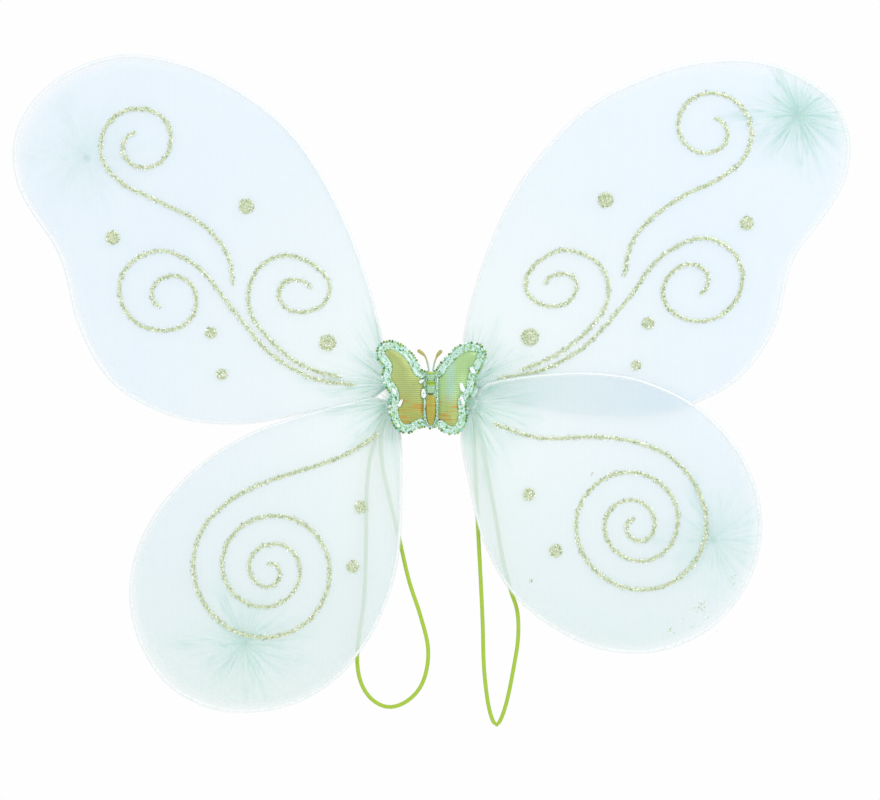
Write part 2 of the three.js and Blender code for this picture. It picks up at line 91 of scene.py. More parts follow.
def linear(colour):
    """An sRGB hex colour as linear red, green, blue and alpha."""
    parts = [int(colour[i : i + 2], 16) / 255 for i in (1, 3, 5)]
    return (*[c / 12.92 if c <= 0.04045 else ((c + 0.055) / 1.055) ** 2.4 for c in parts], 1.0)


# ---- Settings ----


def colour_setting(name, description, value):
    """A colour that a user can change, from its sRGB hex value."""
    return bpy.props.FloatVectorProperty(
        name=name, description=description, subtype="COLOR", size=4, min=0, max=1, default=linear(value)
    )


def size_setting(name, description, millimetres):
    """A size that a user can change, kept in metres."""
    return bpy.props.FloatProperty(
        name=name, description=description, default=millimetres * MM, min=0, unit="LENGTH", precision=5
    )


class FairyClothSettings(bpy.types.PropertyGroup):
    far: colour_setting("Outer cloth", "Nylon far from the butterfly", "#E6F0F7")
    near: colour_setting("Inner cloth", "Nylon near the butterfly", "#EDF5F5")
    low: colour_setting("Lower cloth", "Nylon at the foot of the lower wings", "#E1EDEA")
    gather: colour_setting("Gathered cloth", "Where many folds lie on each other", "#D2F0E4")
    crease: colour_setting("Creases", "The deepest lines between folds", "#96D0BF")
    coverage: bpy.props.FloatProperty(
        name="Coverage", description="How much one stretched layer hides", default=0.61, min=0, max=1,
        subtype="FACTOR",
    )
    edge_step: size_setting("Edge step", "Between the mesh's points along a wing's edge", 2.4)
    pleat_depth: size_setting("Pleat depth", "How deep the folds are at a wing's root", 1.1)
    pleat_reach: size_setting("Pleat reach", "How far the folds run out from a root", 26)
    pleat_spacing: bpy.props.FloatProperty(
        name="Pleat spacing", description="Angle between folds round a root", default=math.radians(7.5),
        subtype="ANGLE",
    )


class FairyGlitterSettings(bpy.types.PropertyGroup):
    # The flake colours are painted light and shade for flakes tilted each way: painted shade, two middle tones
    # and painted glints.
    shade: colour_setting("Shaded flakes", "Flakes turned away from the light", "#A4B68E")
    gold: colour_setting("Gold flakes", "Flakes facing the front", "#D3DAB8")
    green: colour_setting("Green flakes", "Flakes leaning a little", "#D6ECCA")
    bright: colour_setting("Bright flakes", "Flakes that catch the light", "#FFFFFC")
    flake: size_setting("Flake width", "Across a six-sided flake, drawn coarser than the real 0.4 mm", 0.7)
    flakes_per_mm2: bpy.props.FloatProperty(
        name="Flakes", description="On a square millimetre", default=3.4, min=0
    )


class FairyButterflySettings(bpy.types.PropertyGroup):
    left: colour_setting("Left panel", "Lame of the left half", "#B6C67A")
    right: colour_setting("Right panel", "Lame of the right half", "#B7DC9A")
    low: colour_setting("Lower lobes", "Lame at the foot of both halves", "#B4BC54")
    amber: colour_setting("Amber ribs", "Ribs that flash amber in the lower lobes", "#CC9A40")
    # A painted sheen: a pale stripe of colour down the right half of the lame.
    sheen: colour_setting("Sheen", "The pale stripe down the right half", "#B4DFC8")
    rib: size_setting("Rib pitch", "Between the woven ribs of the lame", 1.1)
    bead: size_setting("Picot pitch", "Between the picots round the edge", 1.55)
    stitch: size_setting("Stitch pitch", "Between satin stitches, drawn coarser than the real 0.4 mm", 0.95)


class FairyElasticSettings(bpy.types.PropertyGroup):
    # The braid's two colours are painted light and shade: lighter on the raised yarns, darker in the gaps
    # between them.
    light: colour_setting("Light", "Raised yarns of the braid", "#BEDA3C")
    dark: colour_setting("Dark", "Gaps between the yarns", "#83AE16")
    diameter: size_setting("Diameter", "Of the round elastic", 2.2)


class FairyStageSettings(bpy.types.PropertyGroup):
    lens: bpy.props.FloatProperty(name="Lens", description="Focal length in millimetres", default=85)
    distance: size_setting("Distance", "From the camera to the wings", 1140.6)
    aim_x: size_setting("Aim across", "To the right of the middle", 4.9)
    aim_z: bpy.props.FloatProperty(
        name="Aim up", description="Above the middle", default=-0.0066, unit="LENGTH"
    )
    floor_drop: size_setting("Floor", "How far the floor is under the lowest loop", 260)


# ---- Making meshes ----


class Net:
    """A mesh put together bit by bit: points in millimetres, faces, a UV at each corner of a face, and named
    numbers at the points."""

    def __init__(self):
        self.points, self.faces, self.corners, self.values, self.maps = [], [], [], {}, {}

    def add(self, points, faces, corners=None, **values):
        start = len(self.points)
        self.points.extend(np.asarray(points, float).tolist())
        self.faces.extend([[start + i for i in face] for face in faces])
        if corners is None:
            corners = [[(0.0, 0.0)] * len(face) for face in faces]
        self.corners.extend(corners)
        for name, numbers in values.items():
            numbers = np.broadcast_to(np.asarray(numbers, float), (len(self.points) - start,))
            self.values.setdefault(name, []).extend(numbers.tolist())

    def piece(self, name, material, slot, body, smooth=True):
        """The finished piece, at the origin, riding on a body."""
        mesh = bpy.data.meshes.new(name)
        mesh.from_pydata((np.array(self.points) * MM).tolist(), [], self.faces)
        layer = mesh.uv_layers.new(name="along_the_surface")
        layer.data.foreach_set("uv", [x for face in self.corners for pair in face for x in pair])
        for key, pairs in self.maps.items():
            flat = [x for face in self.faces for i in face for x in pairs[i]]
            mesh.uv_layers.new(name=key).data.foreach_set("uv", flat)
        for key, numbers in self.values.items():
            mesh.attributes.new(key, "FLOAT", "POINT").data.foreach_set("value", numbers)
        mesh.polygons.foreach_set("use_smooth", [smooth] * len(mesh.polygons))
        mesh.update()
        obj = bpy.data.objects.new(name, mesh)
        bpy.context.scene.collection.objects.link(obj)
        return finished(obj, material, body)


def finished(obj, material, body):
    """Gives a piece its material and the body that it moves with."""
    obj.data.materials.clear()
    obj.data.materials.append(material)
    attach(obj, body)
    return obj


def cells(rows, columns, closed_rows=False, closed_columns=False):
    """The row and column at the four corners of each cell of a grid, row by row."""
    for i in range(rows if closed_rows else rows - 1):
        for j in range(columns if closed_columns else columns - 1):
            yield [(i, j), (i, j + 1), (i + 1, j + 1), (i + 1, j)]


def grid(rows, columns, closed_rows=False, closed_columns=False):
    """The faces of a grid of points that are listed row by row."""
    return [
        [(a % rows) * columns + b % columns for a, b in cell]
        for cell in cells(rows, columns, closed_rows, closed_columns)
    ]


def end_faces(rows, columns):
    """The two faces that close a grid's first and last row, where its columns close."""
    ring = list(range(columns))
    return [ring[::-1], [(rows - 1) * columns + i for i in ring]]


def at_depth(flat, y):
    """Points given as x, z, put at a depth, or each at a depth of its own."""
    flat = np.asarray(flat, float)
    return np.stack([flat[:, 0], np.broadcast_to(y, (len(flat),)), flat[:, 1]], axis=1)


def circle(count):
    """Angles spaced evenly round a full turn."""
    return np.arange(count) * 2 * math.pi / count


def smooth_line(points, step, closed=False):
    """Points about step apart along a smooth curve through the given ones."""
    p = np.asarray(points, float)
    if closed:
        p = np.vstack([p[-1], p, p[:2]])
    else:
        p = np.vstack([2 * p[0] - p[1], p, 2 * p[-1] - p[-2]])
    t = np.linspace(0, 1, 12, endpoint=False)[:, None]
    dense = []
    for a, b, c, d in zip(p, p[1:], p[2:], p[3:]):
        square, cube = 2 * a - 5 * b + 4 * c - d, 3 * b - a - 3 * c + d
        dense.append((2 * b + (c - a) * t + square * t**2 + cube * t**3) / 2)
    dense = np.vstack([*dense, p[-2]])
    along = np.concatenate([[0], np.cumsum(np.linalg.norm(np.diff(dense, axis=0), axis=1))])
    count = max(2, round(along[-1] / step) + 1)
    at = np.linspace(0, along[-1], count)
    line = np.stack([np.interp(at, along, dense[:, k]) for k in range(p.shape[1])], axis=1)
    return line[:-1] if closed else line


def unit(vectors):
    """Vectors scaled to a length of 1."""
    return vectors / np.maximum(np.linalg.norm(vectors, axis=-1, keepdims=True), 1e-9)


def tube(net, line, radius, sides, closed=False, depth=None, **values):
    """Adds a round tube along a line, or an oval one whose radius across the line's plane is the depth. Its UVs
    are in millimetres, round it and along it."""
    line = np.asarray(line, float)
    count = len(line)
    if closed:
        ahead = unit(np.roll(line, -1, 0) - np.roll(line, 1, 0))
    else:
        ahead = unit(np.gradient(line, axis=0))
    wide = np.broadcast_to(radius, (count,))
    deep = np.broadcast_to(radius if depth is None else depth, (count,))
    # A steady side direction where the line stays in the XZ plane, and a carried one where it doesn't.
    side = np.cross(ahead[0], (0, 1, 0))
    side = unit(side if np.linalg.norm(side) > 0.3 else np.cross(ahead[0], (1, 0, 0)))
    points = []
    turn = circle(sides)
    for i in range(count):
        side = unit(side - ahead[i] * np.dot(side, ahead[i]))
        up = np.cross(ahead[i], side)
        ring = np.outer(np.cos(turn) * wide[i], side) + np.outer(np.sin(turn) * deep[i], up)
        points.append(line[i] + ring)
    faces = grid(count, sides, closed, True)
    steps = np.linalg.norm(np.diff(line, axis=0, append=line[:1]), axis=1)
    along = np.concatenate([[0], np.cumsum(steps)])
    round_it = 2 * math.pi * float(wide.mean())
    places = cells(count, sides, closed, True)
    corners = [[(b / sides * round_it, along[a]) for a, b in cell] for cell in places]
    points = np.vstack(points)
    if not closed:  # rounded ends
        last = (count - 1) * sides
        tips = [line[0] - ahead[0] * wide[0] * 0.6, line[-1] + ahead[-1] * wide[-1] * 0.6]
        points = np.vstack([points, *tips])
        for j in range(sides):
            k = (j + 1) % sides
            faces += [[count * sides, k, j], [count * sides + 1, last + j, last + k]]
            corners += [[(0, 0)] * 3, [(0, along[count - 1])] * 3]
    faces = [face[::-1] for face in faces]
    corners = [face[::-1] for face in corners]
    net.add(points, faces, corners, **values)


def front_outlines(node):
    """The closed outlines of a CAD plate's front face, the longest first, as x, z pairs."""
    net = bmesh.new()
    net.from_mesh(frame["nodes"][node].data)
    bmesh.ops.remove_doubles(net, verts=net.verts, dist=1e-6)
    front = min(v.co.y for v in net.verts) + 1e-5
    flat = {f for f in net.faces if all(v.co.y < front for v in f.verts)}
    beside = {}
    for edge in net.edges:
        if sum(f in flat for f in edge.link_faces) == 1:
            for v in edge.verts:
                beside.setdefault(v, []).append(edge.other_vert(v))
    outlines, left = [], dict.fromkeys(sorted(beside, key=lambda v: (v.co.x, v.co.z)))
    while left:
        loop = [next(iter(left))]
        while loop[-1] is not None:
            del left[loop[-1]]
            loop.append(next((v for v in beside[loop[-1]] if v in left), None))
        outlines.append(np.array([(v.co.x / MM, v.co.z / MM) for v in loop[:-1]]))
    net.free()
    return sorted(outlines, key=lambda o: -np.linalg.norm(o - np.roll(o, 1, 0), axis=1).sum())


def signed_area(outline):
    """The area inside a closed outline, below zero if it runs clockwise."""
    x, z = outline[:, 0], outline[:, 1]
    return float((x * np.roll(z, -1) - np.roll(x, -1) * z).sum()) / 2


def turns_left(outline):
    """1 if an outline runs anticlockwise, and -1 if it runs clockwise."""
    return math.copysign(1, signed_area(outline))


def inward_of(outline, closed):
    """The unit direction into the shape at each point of its outline."""
    if closed:
        ahead = unit(np.roll(outline, -1, 0) - np.roll(outline, 1, 0))
    else:
        ahead = unit(np.gradient(outline, axis=0))
    return turns_left(outline) * np.stack([-ahead[:, 1], ahead[:, 0]], axis=1)


def distance_to(points, outline):
    """How far each point is from a closed outline."""
    best = np.full(len(points), np.inf)
    for a, b in zip(outline, np.roll(outline, -1, 0)):
        t = np.clip((points - a) @ (b - a) / max(float((b - a) @ (b - a)), 1e-9), 0, 1)
        best = np.minimum(best, np.linalg.norm(points - a - t[:, None] * (b - a), axis=1))
    return best


def inside(points, outline):
    """Whether each point is inside a closed outline."""
    within = np.zeros(len(points), bool)
    for (ax, az), (bx, bz) in zip(outline, np.roll(outline, -1, 0)):
        if az != bz:
            crosses = (az > points[:, 1]) != (bz > points[:, 1])
            within ^= crosses & (points[:, 0] < (bx - ax) * (points[:, 1] - az) / (bz - az) + ax)
    return within


def rough(x, y=0.0, z=0.0):
    """Smooth noise from about -1 to 1."""
    return noise.noise(Vector((x, y, z))) * 1.7


# ---- Materials ----


def add_node(tree, kind, inputs=None, **settings):
    """Adds a shader node with its settings, and with a number, a colour or a link for each named input. A node
    given as an input stands for its first output."""
    node = tree.nodes.new(f"ShaderNode{kind}")
    for name, value in settings.items():
        setattr(node, name, value)
    for name, value in (inputs or {}).items():
        if isinstance(value, bpy.types.Node):
            value = value.outputs[0]
        if isinstance(value, bpy.types.NodeSocket):
            tree.links.new(value, node.inputs[name])
        else:
            node.inputs[name].default_value = value
    return node


def new_material(name):
    """An empty node material, and its node tree."""
    material = bpy.data.materials.new(name)
    material.use_nodes = True
    material.node_tree.nodes.clear()
    return material, material.node_tree


def set_ramp(node, stops, interpolation="LINEAR"):
    """Gives a colour ramp its stops: a place, and an sRGB hex value or a setting."""
    ramp = node.color_ramp
    ramp.interpolation = interpolation
    while len(ramp.elements) < len(stops):
        ramp.elements.new(1)
    for element, (place, colour) in zip(ramp.elements, stops):
        element.position = place
        element.color = linear(colour) if isinstance(colour, str) else colour
    return node


def radiating_folds(tree, uv_map, count, reach, amount):
    """Folds that radiate from a gathered place, which is the origin of a UV map in millimetres: how thickly
    the cloth lies there, and its creases."""
    from_it = add_node(tree, "UVMap", uv_map=uv_map)
    out = add_node(tree, "VectorMath", {0: from_it}, operation="LENGTH").outputs["Value"]
    ahead = add_node(tree, "VectorMath", {0: from_it}, operation="NORMALIZE")
    slow = add_node(tree, "Math", {0: out, 1: 0.016}, operation="MULTIPLY")
    lift = add_node(tree, "CombineXYZ", {"Z": slow})
    creases = []
    for scale, width in ((count, 0.032), (count * 2.3, 0.05)):
        around = add_node(
            tree, "VectorMath", {0: ahead, 1: (scale, scale, scale), 2: lift}, operation="MULTIPLY_ADD"
        )
        fold = add_node(tree, "TexNoise", {"Vector": around, "Scale": 1.0, "Detail": 1.0}).outputs["Fac"]
        off = add_node(tree, "Math", {0: fold, 1: 0.5}, operation="SUBTRACT")
        off = add_node(tree, "Math", {0: off}, operation="ABSOLUTE")
        creases.append(
            add_node(
                tree, "MapRange", {"Value": off, "From Min": width, "From Max": 0.0},
                interpolation_type="SMOOTHSTEP",
            )
        )
    broad = add_node(
        tree, "VectorMath", {0: ahead, 1: (2.6, 2.6, 2.6), 2: lift}, operation="MULTIPLY_ADD"
    )
    uneven = add_node(tree, "TexNoise", {"Vector": broad, "Scale": 1.0, "Detail": 2.0}).outputs["Fac"]
    uneven = add_node(
        tree, "MapRange", {"Value": uneven, "From Min": 0.3, "From Max": 0.7, "To Min": 1.5, "To Max": 0.75}
    )
    away = add_node(tree, "Math", {0: out, 1: uneven}, operation="MULTIPLY")
    fade = add_node(tree, "MapRange", {"Value": away, "From Min": reach, "From Max": 0.0})
    strengths = []
    for power, strength in ((2.2, 0.7), (1.2, 1.5)):  # the thick cloth fades out sooner than its creases do
        shown = add_node(tree, "Math", {0: fade, 1: power}, operation="POWER")
        shown = add_node(tree, "Math", {0: shown, 1: strength}, operation="MULTIPLY")
        strengths.append(add_node(tree, "Math", {0: shown, 1: amount}, operation="MULTIPLY"))
    thick, crease_strength = strengths
    lines = add_node(tree, "Math", {0: creases[0], 1: creases[1]}, operation="MAXIMUM")
    return thick, add_node(tree, "Math", {0: lines, 1: crease_strength}, operation="MULTIPLY")


def sheer_nylon(name, settings):
    """Sheer stretched tricot nylon: one layer lets a third of what is behind it through, glows a little
    where light comes through it, and is denser and greener where its folds gather."""
    material, tree = new_material(name)
    place = add_node(tree, "TexCoord").outputs["Object"]
    spread = add_node(tree, "Attribute", attribute_name="cover").outputs["Fac"]
    tip = add_node(tree, "Attribute", attribute_name="tip_strength").outputs["Fac"]
    root_thick, root_lines = radiating_folds(tree, "from_root", 9.5, 46.0, 0.6)
    tip_thick, tip_lines = radiating_folds(tree, "from_tip", 6.0, 40.0, tip)
    thick = add_node(tree, "Math", {0: root_thick, 1: tip_thick}, operation="ADD", use_clamp=True)
    lines = add_node(tree, "Math", {0: root_lines, 1: tip_lines}, operation="ADD", use_clamp=True)
    away = add_node(tree, "VectorMath", {0: place}, operation="LENGTH").outputs["Value"]
    outer = add_node(tree, "MapRange", {"Value": away, "From Min": 0.03, "From Max": 0.16})
    height = add_node(tree, "SeparateXYZ", {0: place}).outputs["Z"]
    lower = add_node(tree, "MapRange", {"Value": height, "From Min": -0.02, "From Max": -0.19})
    # Faint cloudiness, some 40 mm across, where the cloth is stretched unevenly.
    clouds = add_node(tree, "TexNoise", {"Vector": place, "Scale": 26.0, "Detail": 2.0}).outputs["Fac"]
    # Knit wales. Real ones are 0.3 mm apart and are drawn 1.2 mm apart, so that they just show.
    wales = add_node(
        tree, "TexWave", {"Vector": place, "Scale": 262.0, "Distortion": 2.0, "Detail": 1.0},
        wave_type="BANDS", bands_direction="X",
    ).outputs["Fac"]
    cloth = settings.near
    for share, tint in (
        (outer, settings.far), (lower, settings.low), (thick, settings.gather), (lines, settings.crease),
    ):
        cloth = add_node(tree, "Mix", {0: share, 6: cloth, 7: tint}, data_type="RGBA").outputs[2]
    thread = add_node(
        tree, "BsdfPrincipled",
        {"Base Color": cloth, "Roughness": 0.6, "Sheen Weight": 0.15, "Sheen Roughness": 0.4, "IOR": 1.4},
    )
    glow = add_node(tree, "BsdfTranslucent", {"Color": cloth})
    lit = add_node(tree, "MixShader", {0: 0.4, 1: thread, 2: glow})
    clear = add_node(tree, "BsdfTransparent")
    cover = spread
    for share, strength in ((clouds, 0.1), (wales, 0.03), (thick, 0.4), (lines, 0.3)):
        cover = add_node(tree, "Math", {0: share, 1: strength, 2: cover}, operation="MULTIPLY_ADD")
    # What the clouds and the wales add on average is taken off again.
    cover = add_node(tree, "Math", {0: cover, 1: 0.065}, operation="SUBTRACT", use_clamp=True)
    mixed = add_node(tree, "MixShader", {0: cover, 1: clear, 2: lit})
    add_node(tree, "OutputMaterial", {"Surface": mixed})
    return material


def enamelled_wire(name):
    """White enamel baked on steel wire: smooth and slightly glossy, with a faint ripple from bending."""
    material, tree = new_material(name)
    place = add_node(tree, "TexCoord").outputs["Object"]
    ripple = add_node(tree, "TexNoise", {"Vector": place, "Scale": 600.0, "Detail": 2.0}).outputs["Fac"]
    white = set_ramp(add_node(tree, "ValToRGB", {0: ripple}), [(0.3, "#F1F4F4"), (0.7, "#FFFFFF")])
    bump = add_node(tree, "Bump", {"Strength": 0.15, "Distance": 0.0002, "Height": ripple})
    shader = add_node(
        tree, "BsdfPrincipled",
        {"Base Color": white, "Roughness": 0.3, "Coat Weight": 0.3, "Normal": bump},
    )
    add_node(tree, "OutputMaterial", {"Surface": shader})
    return material


def polyester_glitter(name, settings):
    """Six-sided metallised polyester flakes in clear glue: each flake has one painted colour for how it is
    tilted, from painted shade to a painted glint.
    """
    material, tree = new_material(name)
    shade = add_node(tree, "Attribute", attribute_name="shade").outputs["Fac"]
    stops = [(0, settings.shade), (0.24, settings.gold), (0.5, settings.green), (0.82, settings.bright)]
    colour = set_ramp(add_node(tree, "ValToRGB", {0: shade}), stops, "CONSTANT")
    place = add_node(tree, "TexCoord").outputs["Object"]
    # The glue's grain between the flakes, 0.5 mm across.
    grain = add_node(tree, "TexNoise", {"Vector": place, "Scale": 2000.0, "Detail": 1.0}).outputs["Fac"]
    bump = add_node(tree, "Bump", {"Strength": 0.25, "Distance": 0.0001, "Height": grain})
    shader = add_node(
        tree, "BsdfPrincipled",
        {"Base Color": colour, "Metallic": 0.55, "Roughness": 0.3, "Normal": bump},
    )
    add_node(tree, "OutputMaterial", {"Surface": shader})
    return material


def braided_elastic(name, settings):
    """Polyester yarn braided round a rubber core: matt, with crossing diagonal yarns a millimetre wide."""
    material, tree = new_material(name)
    uv = add_node(tree, "UVMap", uv_map="along_the_surface")
    parts = add_node(tree, "SeparateXYZ", {0: uv})
    ridges = []
    for lean in (1, -1):  # the two directions of the braid, 1.1 mm apart along the cord
        slant = add_node(
            tree, "Math", {0: parts.outputs["X"], 1: lean * 0.9, 2: parts.outputs["Y"]},
            operation="MULTIPLY_ADD",
        )
        phase = add_node(tree, "Math", {0: slant, 1: 2 * math.pi / 1.1}, operation="MULTIPLY")
        ridges.append(add_node(tree, "Math", {0: phase}, operation="SINE"))
    # Painted light and shade: the raised yarns are lighter and the gaps between them darker; the same weave is
    # also the bump.
    weave = add_node(tree, "Math", {0: ridges[0], 1: ridges[1]}, operation="MULTIPLY")
    weave = add_node(tree, "Math", {0: weave, 1: 0.5, 2: 0.5}, operation="MULTIPLY_ADD")
    colour = add_node(
        tree, "Mix", {0: weave, 6: settings.dark, 7: settings.light}, data_type="RGBA"
    ).outputs[2]
    bump = add_node(tree, "Bump", {"Strength": 0.5, "Distance": 0.0002, "Height": weave})
    shader = add_node(
        tree, "BsdfPrincipled",
        {"Base Color": colour, "Roughness": 0.62, "Sheen Weight": 0.3, "Normal": bump},
    )
    add_node(tree, "OutputMaterial", {"Surface": shader})
    return material


def wound_thread(name, light, dark):
    """Mercerised polyester thread: silky, with a fine twist across it, drawn 0.6 mm apart."""
    material, tree = new_material(name)
    place = add_node(tree, "TexCoord").outputs["Object"]
    twist = add_node(
        tree, "TexWave", {"Vector": place, "Scale": 520.0, "Distortion": 3.0, "Detail": 2.0},
        wave_type="BANDS", bands_direction="DIAGONAL",
    ).outputs["Fac"]
    colour = set_ramp(add_node(tree, "ValToRGB", {0: twist}), [(0.1, dark), (0.8, light)])
    bump = add_node(tree, "Bump", {"Strength": 0.3, "Distance": 0.0001, "Height": twist})
    shader = add_node(
        tree, "BsdfPrincipled",
        {"Base Color": colour, "Roughness": 0.5, "Sheen Weight": 0.4, "Normal": bump},
    )
    add_node(tree, "OutputMaterial", {"Surface": shader})
    return material


def needled_felt(name):
    """White needled polyester felt: quite matt, with matted fibres and small pits a millimetre across."""
    material, tree = new_material(name)
    place = add_node(tree, "TexCoord").outputs["Object"]
    fibres = add_node(
        tree, "TexNoise", {"Vector": place, "Scale": 1400.0, "Detail": 6.0, "Distortion": 1.5}
    ).outputs["Fac"]
    pits = add_node(tree, "TexVoronoi", {"Vector": place, "Scale": 650.0}).outputs["Distance"]
    colour = set_ramp(add_node(tree, "ValToRGB", {0: fibres}), [(0.3, "#DDE3DF"), (0.65, "#F8FAF7")])
    depth = add_node(tree, "Math", {0: pits, 1: 0.6, 2: fibres}, operation="MULTIPLY_ADD")
    bump = add_node(tree, "Bump", {"Strength": 0.6, "Distance": 0.0004, "Height": depth})
    shader = add_node(
        tree, "BsdfPrincipled",
        {"Base Color": colour, "Roughness": 0.95, "Sheen Weight": 0.5, "Normal": bump},
    )
    add_node(tree, "OutputMaterial", {"Surface": shader})
    return material


def ribbed_lame(name, top, low, sheen_stripe=None):
    """Metallised ribbed lame: a soft metal glow that turns from olive at the top to amber in the lower
    lobes, with painted shade between the ribs and where the weft crosses them."""
    settings = bpy.context.scene.fairy_butterfly
    material, tree = new_material(name)
    place = add_node(tree, "TexCoord").outputs["Object"]
    parts = add_node(tree, "SeparateXYZ", {0: place})
    wander = add_node(tree, "TexNoise", {"Vector": place, "Scale": 160.0, "Detail": 2.0}).outputs["Fac"]
    edge = add_node(tree, "Math", {0: wander, 1: 0.008, 2: parts.outputs["Z"]}, operation="MULTIPLY_ADD")
    down = add_node(tree, "MapRange", {"Value": edge, "From Min": 0.002, "From Max": -0.006})
    colour = top
    if sheen_stripe:
        # A painted sheen: the colour turns pale in a stripe down the middle of the right half.
        across = add_node(tree, "Math", {0: parts.outputs["X"], 1: 0.0105}, operation="SUBTRACT")
        across = add_node(tree, "Math", {0: across}, operation="ABSOLUTE")
        middle = add_node(
            tree, "MapRange", {"Value": across, "From Min": 0.0035, "From Max": 0.0008, "To Max": 0.8}
        )
        colour = add_node(tree, "Mix", {0: middle, 6: top, 7: sheen_stripe}, data_type="RGBA").outputs[2]
    # Single ribs flash amber, for a few millimetres of their length.
    stretched = add_node(tree, "VectorMath", {0: place, 1: (90.0, 1.0, 900.0)}, operation="MULTIPLY")
    flash = add_node(tree, "TexNoise", {"Vector": stretched, "Scale": 1.0, "Detail": 2.0}).outputs["Fac"]
    flash = add_node(tree, "MapRange", {"Value": flash, "From Min": 0.48, "From Max": 0.66})
    low = add_node(tree, "Mix", {0: 0.5, 6: top, 7: low}, data_type="RGBA").outputs[2]
    low = add_node(tree, "Mix", {0: flash, 6: low, 7: settings.amber}, data_type="RGBA").outputs[2]
    colour = add_node(tree, "Mix", {0: down, 6: colour, 7: low}, data_type="RGBA").outputs[2]
    phase = add_node(
        tree, "Math", {0: parts.outputs["Z"], 1: 2 * math.pi / settings.rib}, operation="MULTIPLY"
    )
    rib = add_node(tree, "Math", {0: phase}, operation="COSINE")
    # The upper lobes are pulled smooth.
    ribbed = add_node(
        tree, "MapRange", {"Value": edge, "From Min": 0.019, "From Max": 0.007, "To Min": 0.1}
    )
    rib = add_node(tree, "Math", {0: rib, 1: ribbed}, operation="MULTIPLY")
    # The weft crosses the ribs every 0.8 mm.
    weft = add_node(
        tree, "TexWave", {"Vector": place, "Scale": 390.0, "Distortion": 0.6},
        wave_type="BANDS", bands_direction="X",
    ).outputs["Fac"]
    # Painted shade: the colour is darkened between the ribs and along the weft bands, and the same pattern is
    # the bump.
    shade = add_node(tree, "Math", {0: rib, 1: 0.13, 2: 0.87}, operation="MULTIPLY_ADD")
    weft = add_node(tree, "Math", {0: weft, 1: 0.14, 2: 0.9}, operation="MULTIPLY_ADD")
    shade = add_node(tree, "Math", {0: shade, 1: weft}, operation="MULTIPLY")
    shaded = add_node(
        tree, "Mix", {0: 1.0, 6: colour, 7: shade}, data_type="RGBA", blend_type="MULTIPLY"
    ).outputs[2]
    bump = add_node(tree, "Bump", {"Strength": 0.35, "Distance": 0.0002, "Height": shade})
    shader = add_node(
        tree, "BsdfPrincipled",
        {"Base Color": shaded, "Metallic": 0.35, "Roughness": 0.4, "Normal": bump},
    )
    add_node(tree, "OutputMaterial", {"Surface": shader})
    return material


def iridescent_trim(name):
    """Satin-stitched iridescent yarn: white and mint film threads that flash aqua, and deep green between, with
    painted shade mixed in along the grooves between the rolls.
    """
    material, tree = new_material(name)
    place = add_node(tree, "TexCoord").outputs["Object"]
    # Flashes about 1.3 mm across.
    flash = add_node(tree, "TexNoise", {"Vector": place, "Scale": 760.0, "Detail": 3.0, "Distortion": 0.8})
    stops = [
        (0.31, "#2F7F62"), (0.42, "#8FC56A"), (0.48, "#A4DBC2"), (0.54, "#FFFFFF"),
        (0.60, "#86CFD0"), (0.68, "#CFE9E2"),
    ]
    colour = set_ramp(add_node(tree, "ValToRGB", {0: flash.outputs["Fac"]}), stops)
    # Painted shade: the grooves between the rolls, and the flat edges, are mixed towards a darker green.
    groove = add_node(tree, "Attribute", attribute_name="groove").outputs["Fac"]
    colour = add_node(
        tree, "Mix", {0: groove, 6: colour, 7: linear("#4E9A72")}, data_type="RGBA"
    ).outputs[2]
    bump = add_node(tree, "Bump", {"Strength": 0.5, "Distance": 0.0003, "Height": flash.outputs["Fac"]})
    shader = add_node(
        tree, "BsdfPrincipled",
        {
            "Base Color": colour, "Metallic": 0.25, "Roughness": 0.3, "Coat Weight": 0.5,
            "Coat Roughness": 0.15, "Normal": bump,
        },
    )
    add_node(tree, "OutputMaterial", {"Surface": shader})
    return material


def picot_thread(name):
    """Looped green and mint metallic thread: each picot has one shade."""
    material, tree = new_material(name)
    shade = add_node(tree, "Attribute", attribute_name="shade").outputs["Fac"]
    stops = [
        (0.0, "#5E8C3C"), (0.3, "#96B84C"), (0.55, "#9AD8BC"), (0.8, "#F2FBF2"),
    ]
    colour = set_ramp(add_node(tree, "ValToRGB", {0: shade}), stops, "CONSTANT")
    place = add_node(tree, "TexCoord").outputs["Object"]
    fuzz = add_node(tree, "TexNoise", {"Vector": place, "Scale": 3000.0}).outputs["Fac"]
    bump = add_node(tree, "Bump", {"Strength": 0.3, "Distance": 0.0001, "Height": fuzz})
    shader = add_node(
        tree, "BsdfPrincipled",
        {"Base Color": colour, "Metallic": 0.35, "Roughness": 0.35, "Normal": bump},
    )
    add_node(tree, "OutputMaterial", {"Surface": shader})
    return material


def pearl_highlight_thread(name):
    """Pearl-white film thread that flashes aqua and mint, 0.9 mm across; its white also stands in for painted
    highlights on the padded trim.
    """
    material, tree = new_material(name)
    place = add_node(tree, "TexCoord").outputs["Object"]
    flash = add_node(tree, "TexNoise", {"Vector": place, "Scale": 1100.0, "Detail": 2.0}).outputs["Fac"]
    stops = [(0.34, "#7FC8B4"), (0.45, "#F2FBF8"), (0.6, "#FFFFFF"), (0.7, "#A9DDE6")]
    colour = set_ramp(add_node(tree, "ValToRGB", {0: flash}), stops)
    bump = add_node(tree, "Bump", {"Strength": 0.4, "Distance": 0.0002, "Height": flash})
    shader = add_node(
        tree, "BsdfPrincipled",
        {"Base Color": colour, "Roughness": 0.25, "Coat Weight": 0.5, "Normal": bump},
    )
    add_node(tree, "OutputMaterial", {"Surface": shader})
    return material


